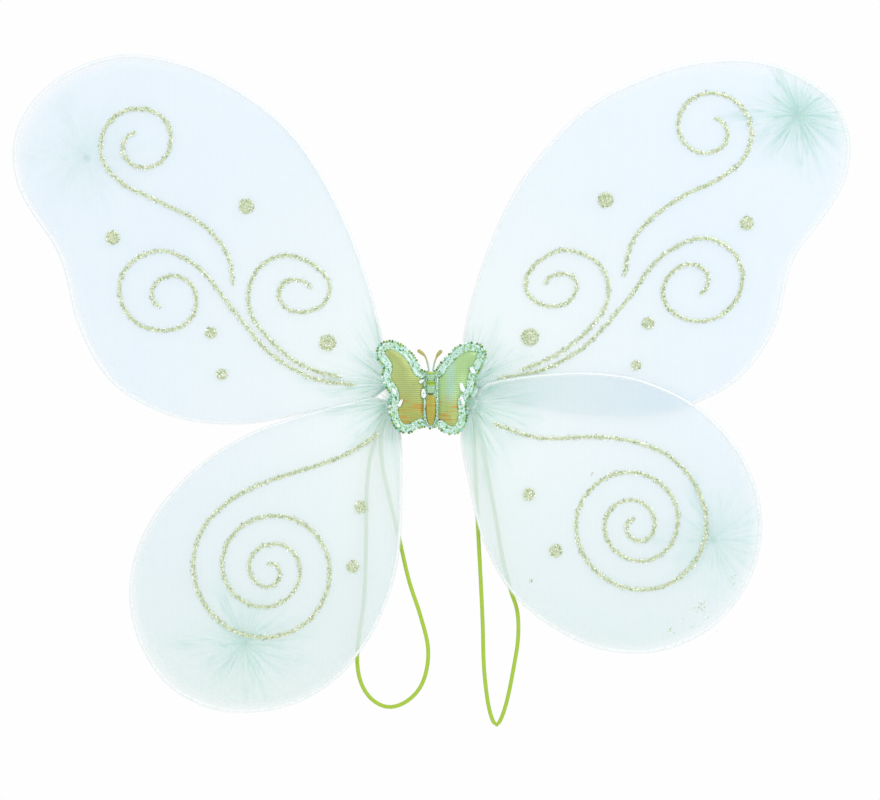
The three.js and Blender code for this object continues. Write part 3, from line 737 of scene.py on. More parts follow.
def metallic_cord(name, low, high):
    """Fine gold cord over a pipe of thread: ringed every 0.7 mm, greener towards its foot."""
    material, tree = new_material(name)
    uv = add_node(tree, "UVMap", uv_map="along_the_surface")
    along = add_node(tree, "SeparateXYZ", {0: uv}).outputs["Y"]
    up = add_node(tree, "MapRange", {"Value": along, "From Min": 1.0, "From Max": 8.0})
    colour = add_node(tree, "Mix", {0: up, 6: linear(low), 7: linear(high)}, data_type="RGBA").outputs[2]
    phase = add_node(tree, "Math", {0: along, 1: 2 * math.pi / 0.7}, operation="MULTIPLY")
    ring = add_node(tree, "Math", {0: phase}, operation="SINE")
    bump = add_node(tree, "Bump", {"Strength": 0.4, "Distance": 0.0001, "Height": ring})
    shader = add_node(
        tree, "BsdfPrincipled",
        {"Base Color": colour, "Metallic": 0.5, "Roughness": 0.35, "Normal": bump},
    )
    add_node(tree, "OutputMaterial", {"Surface": shader})
    return material


def matt_floor(name):
    """Matt white paper, with a grain too faint to see from a pace away."""
    material, tree = new_material(name)
    place = add_node(tree, "TexCoord").outputs["Object"]
    grain = add_node(tree, "TexNoise", {"Vector": place, "Scale": 400.0}).outputs["Fac"]
    colour = set_ramp(add_node(tree, "ValToRGB", {0: grain}), [(0.0, "#F7F8F8"), (1.0, "#FCFDFD")])
    shader = add_node(tree, "BsdfPrincipled", {"Base Color": colour, "Roughness": 0.9})
    add_node(tree, "OutputMaterial", {"Surface": shader})
    return material


# ---- The stage ----


class FAIRY_OT_stage(bpy.types.Operator):
    """Add the camera, the lights, the white surround and the floor"""

    bl_idname = "fairy.stage"
    bl_label = "Stage"

    def execute(self, context):
        settings = context.scene.fairy_stage
        bpy.ops.object.select_all(action="DESELECT")
        plane = sum(span("left_upper_sleeve", 1)) / 2 * MM
        bpy.ops.object.camera_add(
            location=(settings.aim_x, plane - settings.distance, settings.aim_z),
            rotation=(math.pi / 2, 0, 0),
        )
        camera = context.object
        camera.data.lens = settings.lens
        camera.data.clip_end = 20
        context.scene.camera = camera
        lights = (
            ("key", (0.75, -1.0, 0.85), 1.1, 8.0),
            ("fill", (-0.9, -0.9, 0.15), 1.2, 3.0),
            ("back", (0.3, 0.9, 0.8), 1.2, 6.0),
        )
        for name, place, size, power in lights:
            bpy.ops.object.light_add(type="AREA", location=place)
            light = context.object
            light.name = f"{name}_light"
            light.data.size, light.data.energy = size, power
            light.rotation_euler = (-Vector(place)).to_track_quat("-Z", "Y").to_euler()
        world = bpy.data.worlds.new("white_surround")
        world.use_nodes = True
        world.node_tree.nodes.clear()
        ray = add_node(world.node_tree, "LightPath").outputs["Is Camera Ray"]
        strength = add_node(world.node_tree, "MapRange", {"Value": ray, "To Min": 0.75, "To Max": 1.0})
        white = add_node(
            world.node_tree, "Background", {"Color": linear("#FEFEFE"), "Strength": strength}
        )
        add_node(world.node_tree, "OutputWorld", {"Surface": white})
        context.scene.world = world
        context.scene.view_settings.view_transform = "Standard"
        bpy.ops.mesh.primitive_circle_add(
            vertices=96, radius=1.1, fill_type="NGON", location=(0, 0, CAD_BOX[0].z - settings.floor_drop)
        )
        floor = context.object
        floor.name = "floor"
        bpy.ops.object.transform_apply(location=True)
        floor.data.materials.append(matt_floor("matt_white_paper"))
        return {"FINISHED"}


# ---- The arm loops ----

# Each loop's route from its knot down behind the lower wing and back, in metres.
LOOP_ROUTES = {
    "left": [
        (-0.0270, -0.0073, -0.0167), (-0.0316, -0.0073, -0.0300), (-0.0348, -0.0071, -0.0480),
        (-0.0356, -0.0068, -0.0720), (-0.0359, -0.0064, -0.0960), (-0.0370, -0.0060, -0.1180),
        (-0.0396, -0.0056, -0.1360), (-0.0406, -0.0052, -0.1510), (-0.0382, -0.0050, -0.1630),
        (-0.0320, -0.0049, -0.1718), (-0.0231, -0.0049, -0.1755), (-0.0138, -0.0049, -0.1726),
        (-0.0062, -0.0050, -0.1650), (-0.0023, -0.0052, -0.1540), (-0.0019, -0.0056, -0.1410),
        (-0.0062, -0.0060, -0.1240), (-0.0121, -0.0063, -0.1060), (-0.0172, -0.0067, -0.0840),
        (-0.0224, -0.0070, -0.0620), (-0.0268, -0.0072, -0.0420), (-0.0274, -0.0073, -0.0280),
        (-0.0256, -0.0073, -0.0169),
    ],
    "right": [
        (0.0242, -0.0073, -0.0168), (0.0238, -0.0073, -0.0320), (0.0248, -0.0071, -0.0540),
        (0.0258, -0.0068, -0.0780), (0.0272, -0.0064, -0.1040), (0.0284, -0.0060, -0.1300),
        (0.0290, -0.0056, -0.1520), (0.0308, -0.0052, -0.1700), (0.0332, -0.0050, -0.1810),
        (0.0360, -0.0049, -0.1854), (0.0389, -0.0049, -0.1810), (0.0420, -0.0050, -0.1710),
        (0.0452, -0.0053, -0.1550), (0.0478, -0.0057, -0.1380), (0.0474, -0.0061, -0.1230),
        (0.0434, -0.0064, -0.1100), (0.0394, -0.0068, -0.0940), (0.0360, -0.0070, -0.0740),
        (0.0324, -0.0072, -0.0540), (0.0292, -0.0073, -0.0360), (0.0266, -0.0073, -0.0220),
        (0.0258, -0.0073, -0.0169),
    ],
}


class FAIRY_OT_arm_loops(bpy.types.Operator):
    """Add the two elastic arm loops and the knots that they are tied with"""

    bl_idname = "fairy.arm_loops"
    bl_label = "Arm loops"

    def execute(self, context):
        settings = context.scene.fairy_elastic
        material = braided_elastic("braided_elastic", settings)
        radius = settings.diameter / MM / 2
        for side in SIDES:
            line = smooth_line(np.array(LOOP_ROUTES[side]) / MM, 2.5)
            net = Net()
            tube(net, line, radius, 12)
            loop = net.piece(f"{side}_arm_loop_elastic", material, "lime_elastic", f"{side}_arm_loop")
            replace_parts(loop, f"{side}_elastic_loop")
            knot = self.knot(side, radius, material)
        return {"FINISHED"}

    def knot(self, side, radius, material):
        """An overhand knot: a trefoil of the same elastic, pulled small."""
        node = f"{side}_elastic_knot"
        middle = np.array([sum(span(node, axis)) / 2 for axis in range(3)])
        half = np.array([span(node, axis)[1] - span(node, axis)[0] for axis in range(3)]) / 2
        t = circle(72)
        trefoil = np.stack(
            [np.sin(t) + 2 * np.sin(2 * t), -np.sin(3 * t), np.cos(t) - 2 * np.cos(2 * t)], axis=1
        )
        trefoil *= (half - radius * 0.75) / np.array([2.75, 1.0, 2.75])
        net = Net()
        tube(net, middle + trefoil, radius * 0.8, 10, closed=True)
        knot = net.piece(f"{side}_arm_loop_knot", material, "lime_elastic", f"{side}_arm_loop")
        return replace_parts(knot, node)


# ---- The wings ----

WIRE_RADIUS = 0.8
CLEARER_AT_RIM = 0.42  # how much less the cloth hides where it is stretched over the wire
MOUTH_RADIUS = 3.5  # of a sleeve's gathered mouth round its bundle
RINGS = 46  # of mesh points from a wing's mouth to its rim
CROWDING = 1.45  # above 1, the rings lie closer together near the mouth
LOWEST_FOLD = 0.35  # the tallest that a fold may be under the frill of the mouth
FRILL_EDGE = 8  # how far out the frill may reach
SHORTEST_FOLD = 6
SAG = 0.22  # how far each layer sags between its root and its rim
RIM_TURNS = 5  # mesh points over the wire, from the front layer to the back one

# How wide, in millimetres, and how dense, from 0 to 1, the folds are round each sleeve's tied far end.
TIP_LOOKS = {
    "left_upper": (16, 0.2),
    "right_upper": (19, 0.62),
    "left_lower": (16, 0.42),
    "right_lower": (16, 0.34),
}


def tip_of(wing):
    """Where a sleeve's far end is tied, as x, z."""
    return np.array([sum(span(f"{wing}_tip_tie", axis)) / 2 for axis in (0, 2)])


def wing_edge(wing, step):
    """The outer edge of a wing's sleeve from lip to lip, the inward direction along it, its plane and half
    its depth."""
    node = f"{wing}_sleeve"
    loop = front_outlines(node)[0]
    far = np.linalg.norm(loop - ROOTS[wing], axis=1) > MOUTH_RADIUS + 0.1
    start = next(i for i in range(len(loop)) if far[i] and not far[i - 1])
    loop, far = np.roll(loop, -start, axis=0), np.roll(far, -start)
    run = np.vstack([loop[-1], loop[: int(far.sum()) + 1]])
    line = smooth_line(run, step)
    back, front = span(node, 1)[1], span(node, 1)[0]
    return line, inward_of(line, closed=False), (back + front) / 2, (back - front) / 2


def gather_at(angle, out, spacing, reach, seed):
    """The height of a gathered mouth's folds, from -1 to 1."""
    length = max(reach * (0.75 + 0.6 * rough(angle / spacing * 0.6, seed + 9.3)), SHORTEST_FOLD)
    return rough(angle / spacing, seed, out / 140) * math.exp(-max(out - MOUTH_RADIUS, 0) / length)


class FAIRY_OT_wing_wires(bpy.types.Operator):
    """Add the bent wire inside the edge of each wing"""

    bl_idname = "fairy.wing_wires"
    bl_label = "Wing wires"

    def execute(self, context):
        material = enamelled_wire("white_enamelled_steel_wire")
        for wing in WINGS:
            edge, inward, plane, half = wing_edge(wing, context.scene.fairy_cloth.edge_step / MM)
            line = edge + inward * half
            ends = [ROOTS[wing] + (line[i] - ROOTS[wing]) * 0.45 for i in (0, -1)]
            line = np.vstack([ends[0], line, ends[1]])
            net = Net()
            tube(net, at_depth(line, plane), WIRE_RADIUS, 10)
            wire = net.piece(f"{wing}_rim_wire", material, "white_wire", f"{wing}_wing")
            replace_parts(wire, f"{wing}_wire")
        return {"FINISHED"}


class FAIRY_OT_wing_sleeves(bpy.types.Operator):
    """Add the sheer nylon sleeve stretched over each wing and gathered at its root"""

    bl_idname = "fairy.wing_sleeves"
    bl_label = "Wing sleeves"

    def execute(self, context):
        settings = context.scene.fairy_cloth
        material = sheer_nylon("sheer_stretch_nylon", settings)
        for number, wing in enumerate(WINGS):
            self.sleeve(wing, number, settings, material)
        return {"FINISHED"}

    def sleeve(self, wing, number, settings, material):
        edge, inward, plane, half = wing_edge(wing, settings.edge_step / MM)
        rim = edge + inward * half
        root = ROOTS[wing]
        open_front = wing.endswith("lower")  # the other layer of each pair faces its neighbour closely
        rows = []
        shares = [(k / RINGS) ** CROWDING for k in range(RINGS + 1)]
        reach, depth = settings.pleat_reach / MM, settings.pleat_depth / MM
        for layer in (-1, 1):
            stands_out = open_front == (layer < 0)
            rows.append([])
            for k, share in enumerate(shares):
                for i, end in enumerate(rim):
                    angle = math.atan2(end[1] - root[1], end[0] - root[0]) % (2 * math.pi)
                    start = root + MOUTH_RADIUS * np.array([math.cos(angle), math.sin(angle)])
                    at = start + (end - start) * share
                    out = float(np.linalg.norm(at - root))
                    fold = gather_at(angle, out, settings.pleat_spacing, reach, number * 3.7 + layer)
                    fold *= depth * (1 - share) ** 0.6
                    # Folds grow taller beyond the frill, over a few millimetres.
                    room = LOWEST_FOLD + 0.12 * min(max(out - FRILL_EDGE, 0), 8)
                    fold = room * math.tanh(fold / room)
                    # Towards the neighbour a fold only goes inwards.
                    lift = fold if stands_out else -abs(fold)
                    sag = SAG * (1 - (2 * share - 1) ** 2) * (1 + rough(at[0] / 45, at[1] / 45, number))
                    y = plane + layer * (half + lift - sag)
                    rows[-1].append((at[0], y, at[1]))
        front, back = (np.array(r).reshape(RINGS + 1, len(rim), 3) for r in rows)
        over = []
        for turn in range(1, RIM_TURNS + 1):
            bend = math.pi * turn / (RIM_TURNS + 1)
            over.append(at_depth(rim - inward * half * math.sin(bend), plane - half * math.cos(bend)))
        table = np.concatenate([front, np.array(over), back[::-1]])
        faces = grid(len(table), len(rim))
        flat = table.reshape(-1, 3)
        if turns_left(edge) < 0:
            faces = [f[::-1] for f in faces]
        on_rim = np.zeros((len(table), len(rim)))
        on_rim[RINGS : RINGS + RIM_TURNS + 2] = 1
        net = Net()
        cover = settings.coverage - CLEARER_AT_RIM * on_rim.ravel()
        net.add(flat, faces, cover=cover, tip_strength=TIP_LOOKS[wing][1])
        net.maps["from_root"] = (flat[:, (0, 2)] - root).tolist()
        net.maps["from_tip"] = (flat[:, (0, 2)] - tip_of(wing)).tolist()
        sleeve = net.piece(f"{wing}_nylon_sleeve", material, f"{wing.split('_')[1]}_nylon", f"{wing}_wing")
        weld(sleeve)
        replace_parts(sleeve, f"{wing}_sleeve")


def weld(obj, distance=0.004):
    """Merges the points of a mesh that lie within a distance in millimetres."""
    net = bmesh.new()
    net.from_mesh(obj.data)
    bmesh.ops.remove_doubles(net, verts=net.verts, dist=distance * MM)
    bmesh.ops.dissolve_degenerate(net, edges=net.edges, dist=distance * MM)
    net.to_mesh(obj.data)
    net.free()


class FAIRY_OT_tip_gathers(bpy.types.Operator):
    """Add the gathered far end of each sleeve, tied with thread on the wing's back layer"""

    bl_idname = "fairy.tip_gathers"
    bl_label = "Gathered ends"

    def execute(self, context):
        settings = context.scene.fairy_cloth
        cloth = sheer_nylon("gathered_nylon", settings)
        thread = wound_thread("mint_tying_thread", "#D8F0E4", "#93C9AE")
        for number, wing in enumerate(WINGS):
            node = f"{wing}_tip_tie"
            x, z = tip_of(wing)
            back, top = span(node, 1)
            reach, strength = TIP_LOOKS[wing]
            pucker = self.pucker(wing, (x, z), back - 0.15, top, reach, strength, number, cloth)
            tie = self.tie(wing, (x, z), back, thread)
            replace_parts(tie, node)
        return {"FINISHED"}

    def pucker(self, wing, centre, back, top, reach, strength, number, cloth):
        """A low cone of radiating folds that thins out to nothing."""
        rings, turns = 26, 150
        points, cover = [], []
        for k in range(rings + 1):
            share = (k / rings) ** 1.3
            for i in range(turns):
                angle = 2 * math.pi * i / turns
                wide = reach * (1 + 0.18 * rough(math.cos(angle), math.sin(angle), number + 0.5))
                out = 0.9 + (wide - 0.9) * share
                around = (math.cos(angle) * 3.2, math.sin(angle) * 3.2)
                fold = rough(*around, number * 5.1 + out / 60)
                crease = math.exp(-((rough(around[0] * 1.3, around[1] * 1.3, number + 2.2) / 0.25) ** 2))
                fade = (1 - share) ** 1.6
                height = (top - back) * 0.75 * math.exp(-out / 3.2)
                height += 0.5 * (1 + fold) * math.exp(-out / 9) * (1 - share)
                x, z = centre[0] + out * math.cos(angle), centre[1] + out * math.sin(angle)
                points.append((x, back + height, z))
                cover.append(strength * fade * (0.5 + 0.5 * crease))
        faces = grid(rings + 1, turns, closed_columns=True)
        net = Net()
        net.add(points, faces, cover=cover, tip_strength=strength)
        net.maps["from_tip"] = [(x - centre[0], z - centre[1]) for x, _, z in points]
        net.maps["from_root"] = [(x - ROOTS[wing][0], z - ROOTS[wing][1]) for x, _, z in points]
        return net.piece(f"{wing}_gathered_end", cloth, "mint_tie", f"{wing}_wing")

    def tie(self, wing, centre, back, thread):
        """Three turns of thread round the bunched end, and the tuft beyond them."""
        net = Net()
        turn = np.linspace(0, 2 * math.pi * 3, 60)
        winding = np.array(centre) + 1.5 * np.stack([np.cos(turn), np.sin(turn)], axis=1)
        tube(net, at_depth(winding, back + 0.5 + turn / turn[-1] * 0.9), 0.28, 6)
        for i in range(11):
            angle = i * 2.4
            out = 1.9 + 1.2 * abs(rough(i * 0.7, 3.1))
            away = np.linspace(0.3, out, 6)
            strand = np.array(centre) + np.outer(away, (math.cos(angle), math.sin(angle)))
            strand = at_depth(strand, back + 1.2 + 0.9 * np.sin(away / out * 2.4))
            tube(net, strand, np.linspace(0.45, 0.25, 6), 6)
        return net.piece(f"{wing}_end_tie", thread, "mint_tie", f"{wing}_wing")


# ---- Glitter ----


def ribbon_middle(node):
    """The middle line of a glitter line, from its CAD ribbon's outline."""
    loop = front_outlines(node)[0]
    half = len(loop) // 2
    sides = np.linalg.norm(np.roll(loop, -1, 0) - loop, axis=1)
    ends = [sides[i] + sides[(i + half) % len(loop)] for i in range(half)]
    loop = np.roll(loop, -(int(np.argmin(ends)) + 1), axis=0)
    return (loop[:half] + loop[half : 2 * half][::-1]) / 2


def add_flakes(net, places, front, settings, draw):
    """Lays thin six-sided flakes at places, each turned and tilted at random, and with a shade number of its
    own, which picks its colour of painted light and shade.
    """
    radius, thin = settings.flake / MM / 2, 0.05
    count = len(places)
    tilt = draw.normal(0, 0.42, (count, 2))
    out = unit(np.stack([tilt[:, 0], -np.ones(count), tilt[:, 1]], axis=1))
    across = unit(np.cross(out, draw.normal(0, 1, (count, 3))))
    up = np.cross(out, across)
    size = radius * draw.uniform(0.75, 1.15, count)
    middle = at_depth(places, front - draw.uniform(0.12, 0.42, count))
    # A random number for each flake, which picks its colour of painted light and shade.
    shade = draw.random(count)
    ring = circle(6)
    faces = [[0, 1, 2, 3, 4, 5], [11, 10, 9, 8, 7, 6]]
    faces += [[i, 6 + i, 6 + (i + 1) % 6, (i + 1) % 6] for i in range(6)]
    for i in range(count):
        hexagon = np.outer(np.cos(ring), across[i]) + np.outer(np.sin(ring), up[i])
        top = middle[i] + hexagon * size[i]
        net.add(np.vstack([top + out[i] * thin, top - out[i] * thin]), faces, shade=shade[i])


class FAIRY_OT_glitter(bpy.types.Operator):
    """Add the glued glitter swirls, dots and stray specks"""

    bl_idname = "fairy.glitter"
    bl_label = "Glitter"

    def execute(self, context):
        settings = context.scene.fairy_glitter
        material = polyester_glitter("gold_polyester_glitter", settings)
        draw = np.random.default_rng(SEED)
        for wing in WINGS:
            starts = (f"{wing}_swirl", f"{wing}_dot")
            for node in sorted(n for n in frame["nodes"] if n.startswith(starts)):
                net = Net()
                front = span(node, 1)[1]
                (self.line if "swirl" in node else self.dot)(net, node, front, settings, draw)
                piece = net.piece(f"{node}_glitter", material, "gold_glitter", f"{wing}_wing", smooth=False)
                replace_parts(piece, node)
        self.specks(settings, material, draw)
        return {"FINISHED"}

    def line(self, net, node, front, settings, draw):
        """A bead of glue that tapers at its ends, under flakes that lie closest along its middle."""
        line = smooth_line(ribbon_middle(node), 1.2)
        half = 1.05
        number = np.arange(len(line))
        taper = np.minimum(1, np.minimum(number, number[::-1]) / 3 + 0.45)
        tube(net, at_depth(line, front - 0.12), half * 0.82 * taper, 8, depth=0.14, shade=0.3)
        steps = np.linalg.norm(np.diff(line, axis=0), axis=1)
        length = float(steps.sum())
        count = int(length * 2.3 * half * settings.flakes_per_mm2)
        at = np.sort(draw.uniform(0, length, count))
        along = np.concatenate([[0], np.cumsum(steps)])
        place = np.stack([np.interp(at, along, line[:, k]) for k in (0, 1)], axis=1)
        ahead = unit(np.stack([np.interp(at, along, np.gradient(line[:, k])) for k in (0, 1)], axis=1))
        aside = np.clip(draw.normal(0, 0.66, count), -1.6, 1.6)
        place += np.stack([-ahead[:, 1], ahead[:, 0]], axis=1) * aside[:, None]
        add_flakes(net, place, front, settings, draw)

    def dot(self, net, node, front, settings, draw):
        """A round drop of glue covered in flakes."""
        (x0, x1), (z0, z1) = span(node, 0), span(node, 2)
        centre, radius = np.array([(x0 + x1) / 2, (z0 + z1) / 2]), (x1 - x0) / 2
        turn = circle(28)
        rings = [(0.98, 0.02), (0.9, 0.16), (0.55, 0.24), (0.04, 0.27)]  # share of the radius, and height
        points = [
            (centre[0] + radius * r * math.cos(a), front - h, centre[1] + radius * r * math.sin(a))
            for r, h in rings
            for a in turn
        ]
        faces = grid(len(rings), len(turn), closed_columns=True) + end_faces(len(rings), len(turn))
        net.add(points, faces, shade=0.3)
        count = int(math.pi * radius**2 * settings.flakes_per_mm2 * 1.15)
        angle = draw.uniform(0, 2 * math.pi, count)
        out = radius * np.sqrt(draw.uniform(0, 1.05, count))
        places = centre + np.stack([out * np.cos(angle), out * np.sin(angle)], axis=1)
        add_flakes(net, places, front, settings, draw)

    def specks(self, settings, material, draw):
        """Loose flakes stuck on the right lower wing, in clusters: x, z, spread and how many flakes."""
        clusters = (
            (88, -47, 1.1, 8), (55, -105, 1.4, 9), (131, -132, 2.2, 12), (147, -121, 7.5, 26),
            (166, -104, 4, 6),
        )
        net = Net()
        front = span("right_lower_sleeve", 1)[0]
        for x, z, wide, count in clusters:
            add_flakes(net, np.array([x, z]) + draw.normal(0, wide / 2, (count, 2)), front, settings, draw)
        net.piece("right_lower_stray_glitter", material, "gold_glitter", "right_lower_wing", smooth=False)


# ---- The centre ----

BUNDLE_RADIUS = 2.5
BINDING_RADIUS = 0.3  # of the thread wound round a bundle
BINDING_PITCH = 0.56
STRANDS = 9  # of the figure of eight between two bundles
FRILL_REACH = 7.0
CORE_CLEARANCE = 0.5  # between a frill and the core
TAPE_TURNS = 19
TAPE_RADIUS = 0.62


class FAIRY_OT_root_bindings(bpy.types.Operator):
    """Add the thread that binds each side's two gathered roots"""

    bl_idname = "fairy.root_bindings"
    bl_label = "Root bindings"

    def execute(self, context):
        material = wound_thread("mint_binding_thread", "#C9EBDC", "#9CCDB6")
        cloth = sheer_nylon("frilled_nylon", context.scene.fairy_cloth)
        for side in SIDES:
            net = Net()
            node = f"{side}_root_binding"
            front, back = span(node, 1)
            (x, upper), (_, lower) = ROOTS[f"{side}_upper"], ROOTS[f"{side}_lower"]
            shallow = span(f"{side}_upper_sleeve", 1)[0] - 0.4
            for z, reach in ((upper, shallow), (lower, front)):
                self.bundle(net, x, z, reach, back)
            # Figure-of-eight strands between the two bundles.
            for i in range(STRANDS):
                y = shallow + 0.6 + (back - shallow - 1.2) * i / (STRANDS - 1)
                lean = 2.2 if i % 2 else -2.2
                strand = [(x + lean, y, upper), (x, y + 0.1, (upper + lower) / 2), (x - lean, y, lower)]
                tube(net, strand, 0.42, 6)
            piece = net.piece(f"{side}_root_thread_binding", material, "mint_thread", f"{side}_pair")
            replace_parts(piece, node)
            for name, z, y in (("upper", upper, shallow - 0.1), ("lower", lower, front - 0.3)):
                self.ruffle(f"{side}_{name}", np.array([x, z]), y, cloth)
        return {"FINISHED"}

    def ruffle(self, name, root, front, cloth):
        """The frill of the sleeves' mouths beyond the binding: a shallow cone of folds that thins out. It
        stays farther from the middle than the core, so that it clears it when the wings fold."""
        rings, turns = 14, 180
        inner = span("core_binding", 0)[1] + CORE_CLEARANCE
        points, cover = [], []
        for k in range(rings + 1):
            share = k / rings
            for i in range(turns):
                angle = 2 * math.pi * i / turns
                wide = FRILL_REACH * (1 + 0.2 * rough(math.cos(angle) * 4, math.sin(angle) * 4, root[1]))
                toward = -math.copysign(1, root[0]) * math.cos(angle)
                if toward > 0:
                    wide = min(wide, (abs(root[0]) - inner) / toward)
                out = 0.4 + (wide - 0.4) * share
                fold = rough(math.cos(angle) * 7, math.sin(angle) * 7, root[0])
                rise = 0.18 * math.sin(math.pi * min(1, share * 1.6)) + 0.1 * fold * share
                x, z = root[0] + out * math.cos(angle), root[1] + out * math.sin(angle)
                points.append((x, front - 0.15 - rise, z))
                cover.append(0.45 * (1 - share**2))
        faces = grid(rings + 1, turns, closed_columns=True)
        net = Net()
        net.add(points, faces, cover=cover, tip_strength=0.0)
        net.maps["from_root"] = net.maps["from_tip"] = [(x - root[0], z - root[1]) for x, _, z in points]
        side = name.split("_")[0]
        ruffle = net.piece(f"{name}_root_frill", cloth, "mint_tie", f"{side}_pair")
        edge = np.array(points[-turns:])[:, (0, 2)]
        wide, tall = (edge.max(0) - edge.min(0)) * MM

    def bundle(self, net, x, z, front, back):
        """A gathered bundle with rounded ends, and a helix of thread round it."""
        profile = [
            (0.15, front), (1.6, front + 0.15), (BUNDLE_RADIUS, front + 0.7),
            (BUNDLE_RADIUS, back - 0.7), (1.6, back - 0.15), (0.15, back),
        ]
        count = 28
        points = []
        for radius, y in profile:
            for i in range(count):
                angle = 2 * math.pi * i / count
                r = radius * (1 + 0.06 * math.sin(angle * 9))
                points.append((x + r * math.cos(angle), y, z + r * math.sin(angle)))
        faces = grid(len(profile), count, closed_columns=True) + end_faces(len(profile), count)
        net.add(points, [f[::-1] for f in faces])
        wound = back - front - 1.3
        turns = wound / BINDING_PITCH
        t = np.linspace(0, 2 * math.pi * turns, int(turns * 20))
        helix = np.array((x, z)) + (BUNDLE_RADIUS + 0.18) * np.stack([np.cos(t), np.sin(t)], axis=1)
        tube(net, at_depth(helix, front + 0.65 + wound * t / t[-1]), BINDING_RADIUS, 6)


class FAIRY_OT_core_winding(bpy.types.Operator):
    """Add the tape wound round the bound wire ends between the pad and the butterfly"""

    bl_idname = "fairy.core_winding"
    bl_label = "Core winding"

    def execute(self, context):
        material = wound_thread("mint_floral_tape", "#D6EFE3", "#9CCBB4")
        core = frame["nodes"]["core_binding"]
        corners = sorted({(round(v.co.x / MM, 2), round(v.co.y / MM, 2)) for v in core.data.vertices})
        middle = np.mean(corners, axis=0)
        corners.sort(key=lambda p: math.atan2(p[1] - middle[1], p[0] - middle[0]))
        plan = smooth_line(self.rounded(np.array(corners)), 1.6, closed=True)
        low, high = span("core_binding", 2)
        net = Net()
        for i in range(TAPE_TURNS):
            z = low + 0.5 + (high - low - 1.0) * i / (TAPE_TURNS - 1)
            slant = np.sin(np.arange(len(plan)) / len(plan) * 2 * math.pi) * 0.35
            ring = np.stack([plan[:, 0], plan[:, 1], z + slant], axis=1)
            tube(net, ring, TAPE_RADIUS, 6, closed=True)
        for z, out in ((low + 0.35, 0), (high - 0.35, 1)):
            cap = [(x * 0.97, y, z) for x, y in plan]
            face = list(range(len(cap)))
            net.add(cap, [face if out else face[::-1]])
        winding = net.piece("core_tape_winding", material, "mint_thread", "centre")
        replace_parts(winding, "core_binding")
        return {"FINISHED"}

    def rounded(self, corners):
        """The plan's corners drawn in, so that the winding stays inside the solid that it stands for."""
        middle = corners.mean(axis=0)
        halves = (corners + np.roll(corners, -1, 0)) / 2
        inset = middle + (corners - middle) * 0.95
        return np.stack([inset, middle + (halves - middle) * 0.965], axis=1).reshape(-1, 2)


class FAIRY_OT_back_pad(bpy.types.Operator):
    """Add the felt pad that rests on the wearer's back, with its row of stitches"""

    bl_idname = "fairy.back_pad"
    bl_label = "Back pad"

    def execute(self, context):
        front, back = span("back_pad", 1)
        outline = smooth_line(front_outlines("back_pad")[0], 0.5, closed=True)
        inward = inward_of(outline, closed=True)
        rings, edge_radius = 46, 0.45
        rows = []
        for face, out in ((back, 1), (front, -1)):
            sheet = []
            for share in np.linspace(0.02, 1, rings):
                for at, into in zip(outline, inward):
                    x, z = (at + into * edge_radius) * share
                    stitched = math.exp(-(((1 - share) * float(np.linalg.norm(at)) - 2.0) ** 2) / 0.5)
                    nap = 0.07 * rough(x / 1.1, z / 1.1, out * 4.0)
                    sheet.append((x, face + out * (nap - 0.16 * stitched - 0.05), z))
            rows.append(np.array(sheet).reshape(rings, len(outline), 3))
        rim = []
        for turn in np.linspace(math.pi / 10, math.pi * 0.9, 7):
            y = (front + back) / 2 + ((back - front) / 2 - 0.1) * math.cos(turn)
            rim.append(at_depth(outline + inward * edge_radius * (1 - math.sin(turn)), y))
        table = np.concatenate([rows[0], np.array(rim), rows[1][::-1]])
        faces = grid(len(table), len(outline), closed_columns=True) + end_faces(len(table), len(outline))
        if turns_left(outline) > 0:
            faces = [f[::-1] for f in faces]
        net = Net()
        net.add(table.reshape(-1, 3), faces)
        pad = net.piece("felt_back_pad", needled_felt("white_needled_felt"), "white_felt", "centre")
        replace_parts(pad, "back_pad")
        self.stitches(outline, inward, front, back)
        return {"FINISHED"}

    def stitches(self, outline, inward, front, back, inset=2.4, pitch=3.2):
        """Running stitches of mint thread round the pad, on both faces."""
        line = smooth_line(outline + inward * inset, 0.4, closed=True)
        per_stitch = round(pitch / 0.4)
        net = Net()
        for start in range(0, len(line) - per_stitch, per_stitch):
            stitch = line[start : start + per_stitch - 2]
            arch = np.sin(np.linspace(0, math.pi, len(stitch)))
            for face, out in ((back, 1), (front, -1)):
                tube(net, at_depth(stitch, face + out * (arch * 0.28 - 0.3)), 0.26, 6)
        thread = wound_thread("mint_sewing_thread", "#BFE6D4", "#86BFA4")
        net.piece("back_pad_stitches", thread, "mint_thread", "centre")


# ---- The butterfly ----

BORDER_WIDTH = 4.6
LESS_INSIDE = 1.0  # how much narrower the border is along the body
# The height of each roll of the border, and its middle and half its width as shares of the border's width.
BORDER_ROLLS = ((1.75, 0.27, 0.29), (1.45, 0.77, 0.25))
PICOT_RADIUS = 0.66


def half_outline(side, step):
    """The closed outline of one half of the butterfly, with its straight inner side."""
    loop = front_outlines(f"butterfly_{side}_border")[0]
    steps = np.linalg.norm(np.roll(loop, -1, 0) - loop, axis=1)
    loop = np.roll(loop, -(int(np.argmax(steps)) + 1), axis=0)
    curve = smooth_line(loop, step)
    count = int(np.linalg.norm(curve[0] - curve[-1]) / step)
    straight = [curve[-1] + (curve[0] - curve[-1]) * i / count for i in range(1, count)]
    return np.vstack([curve, straight])


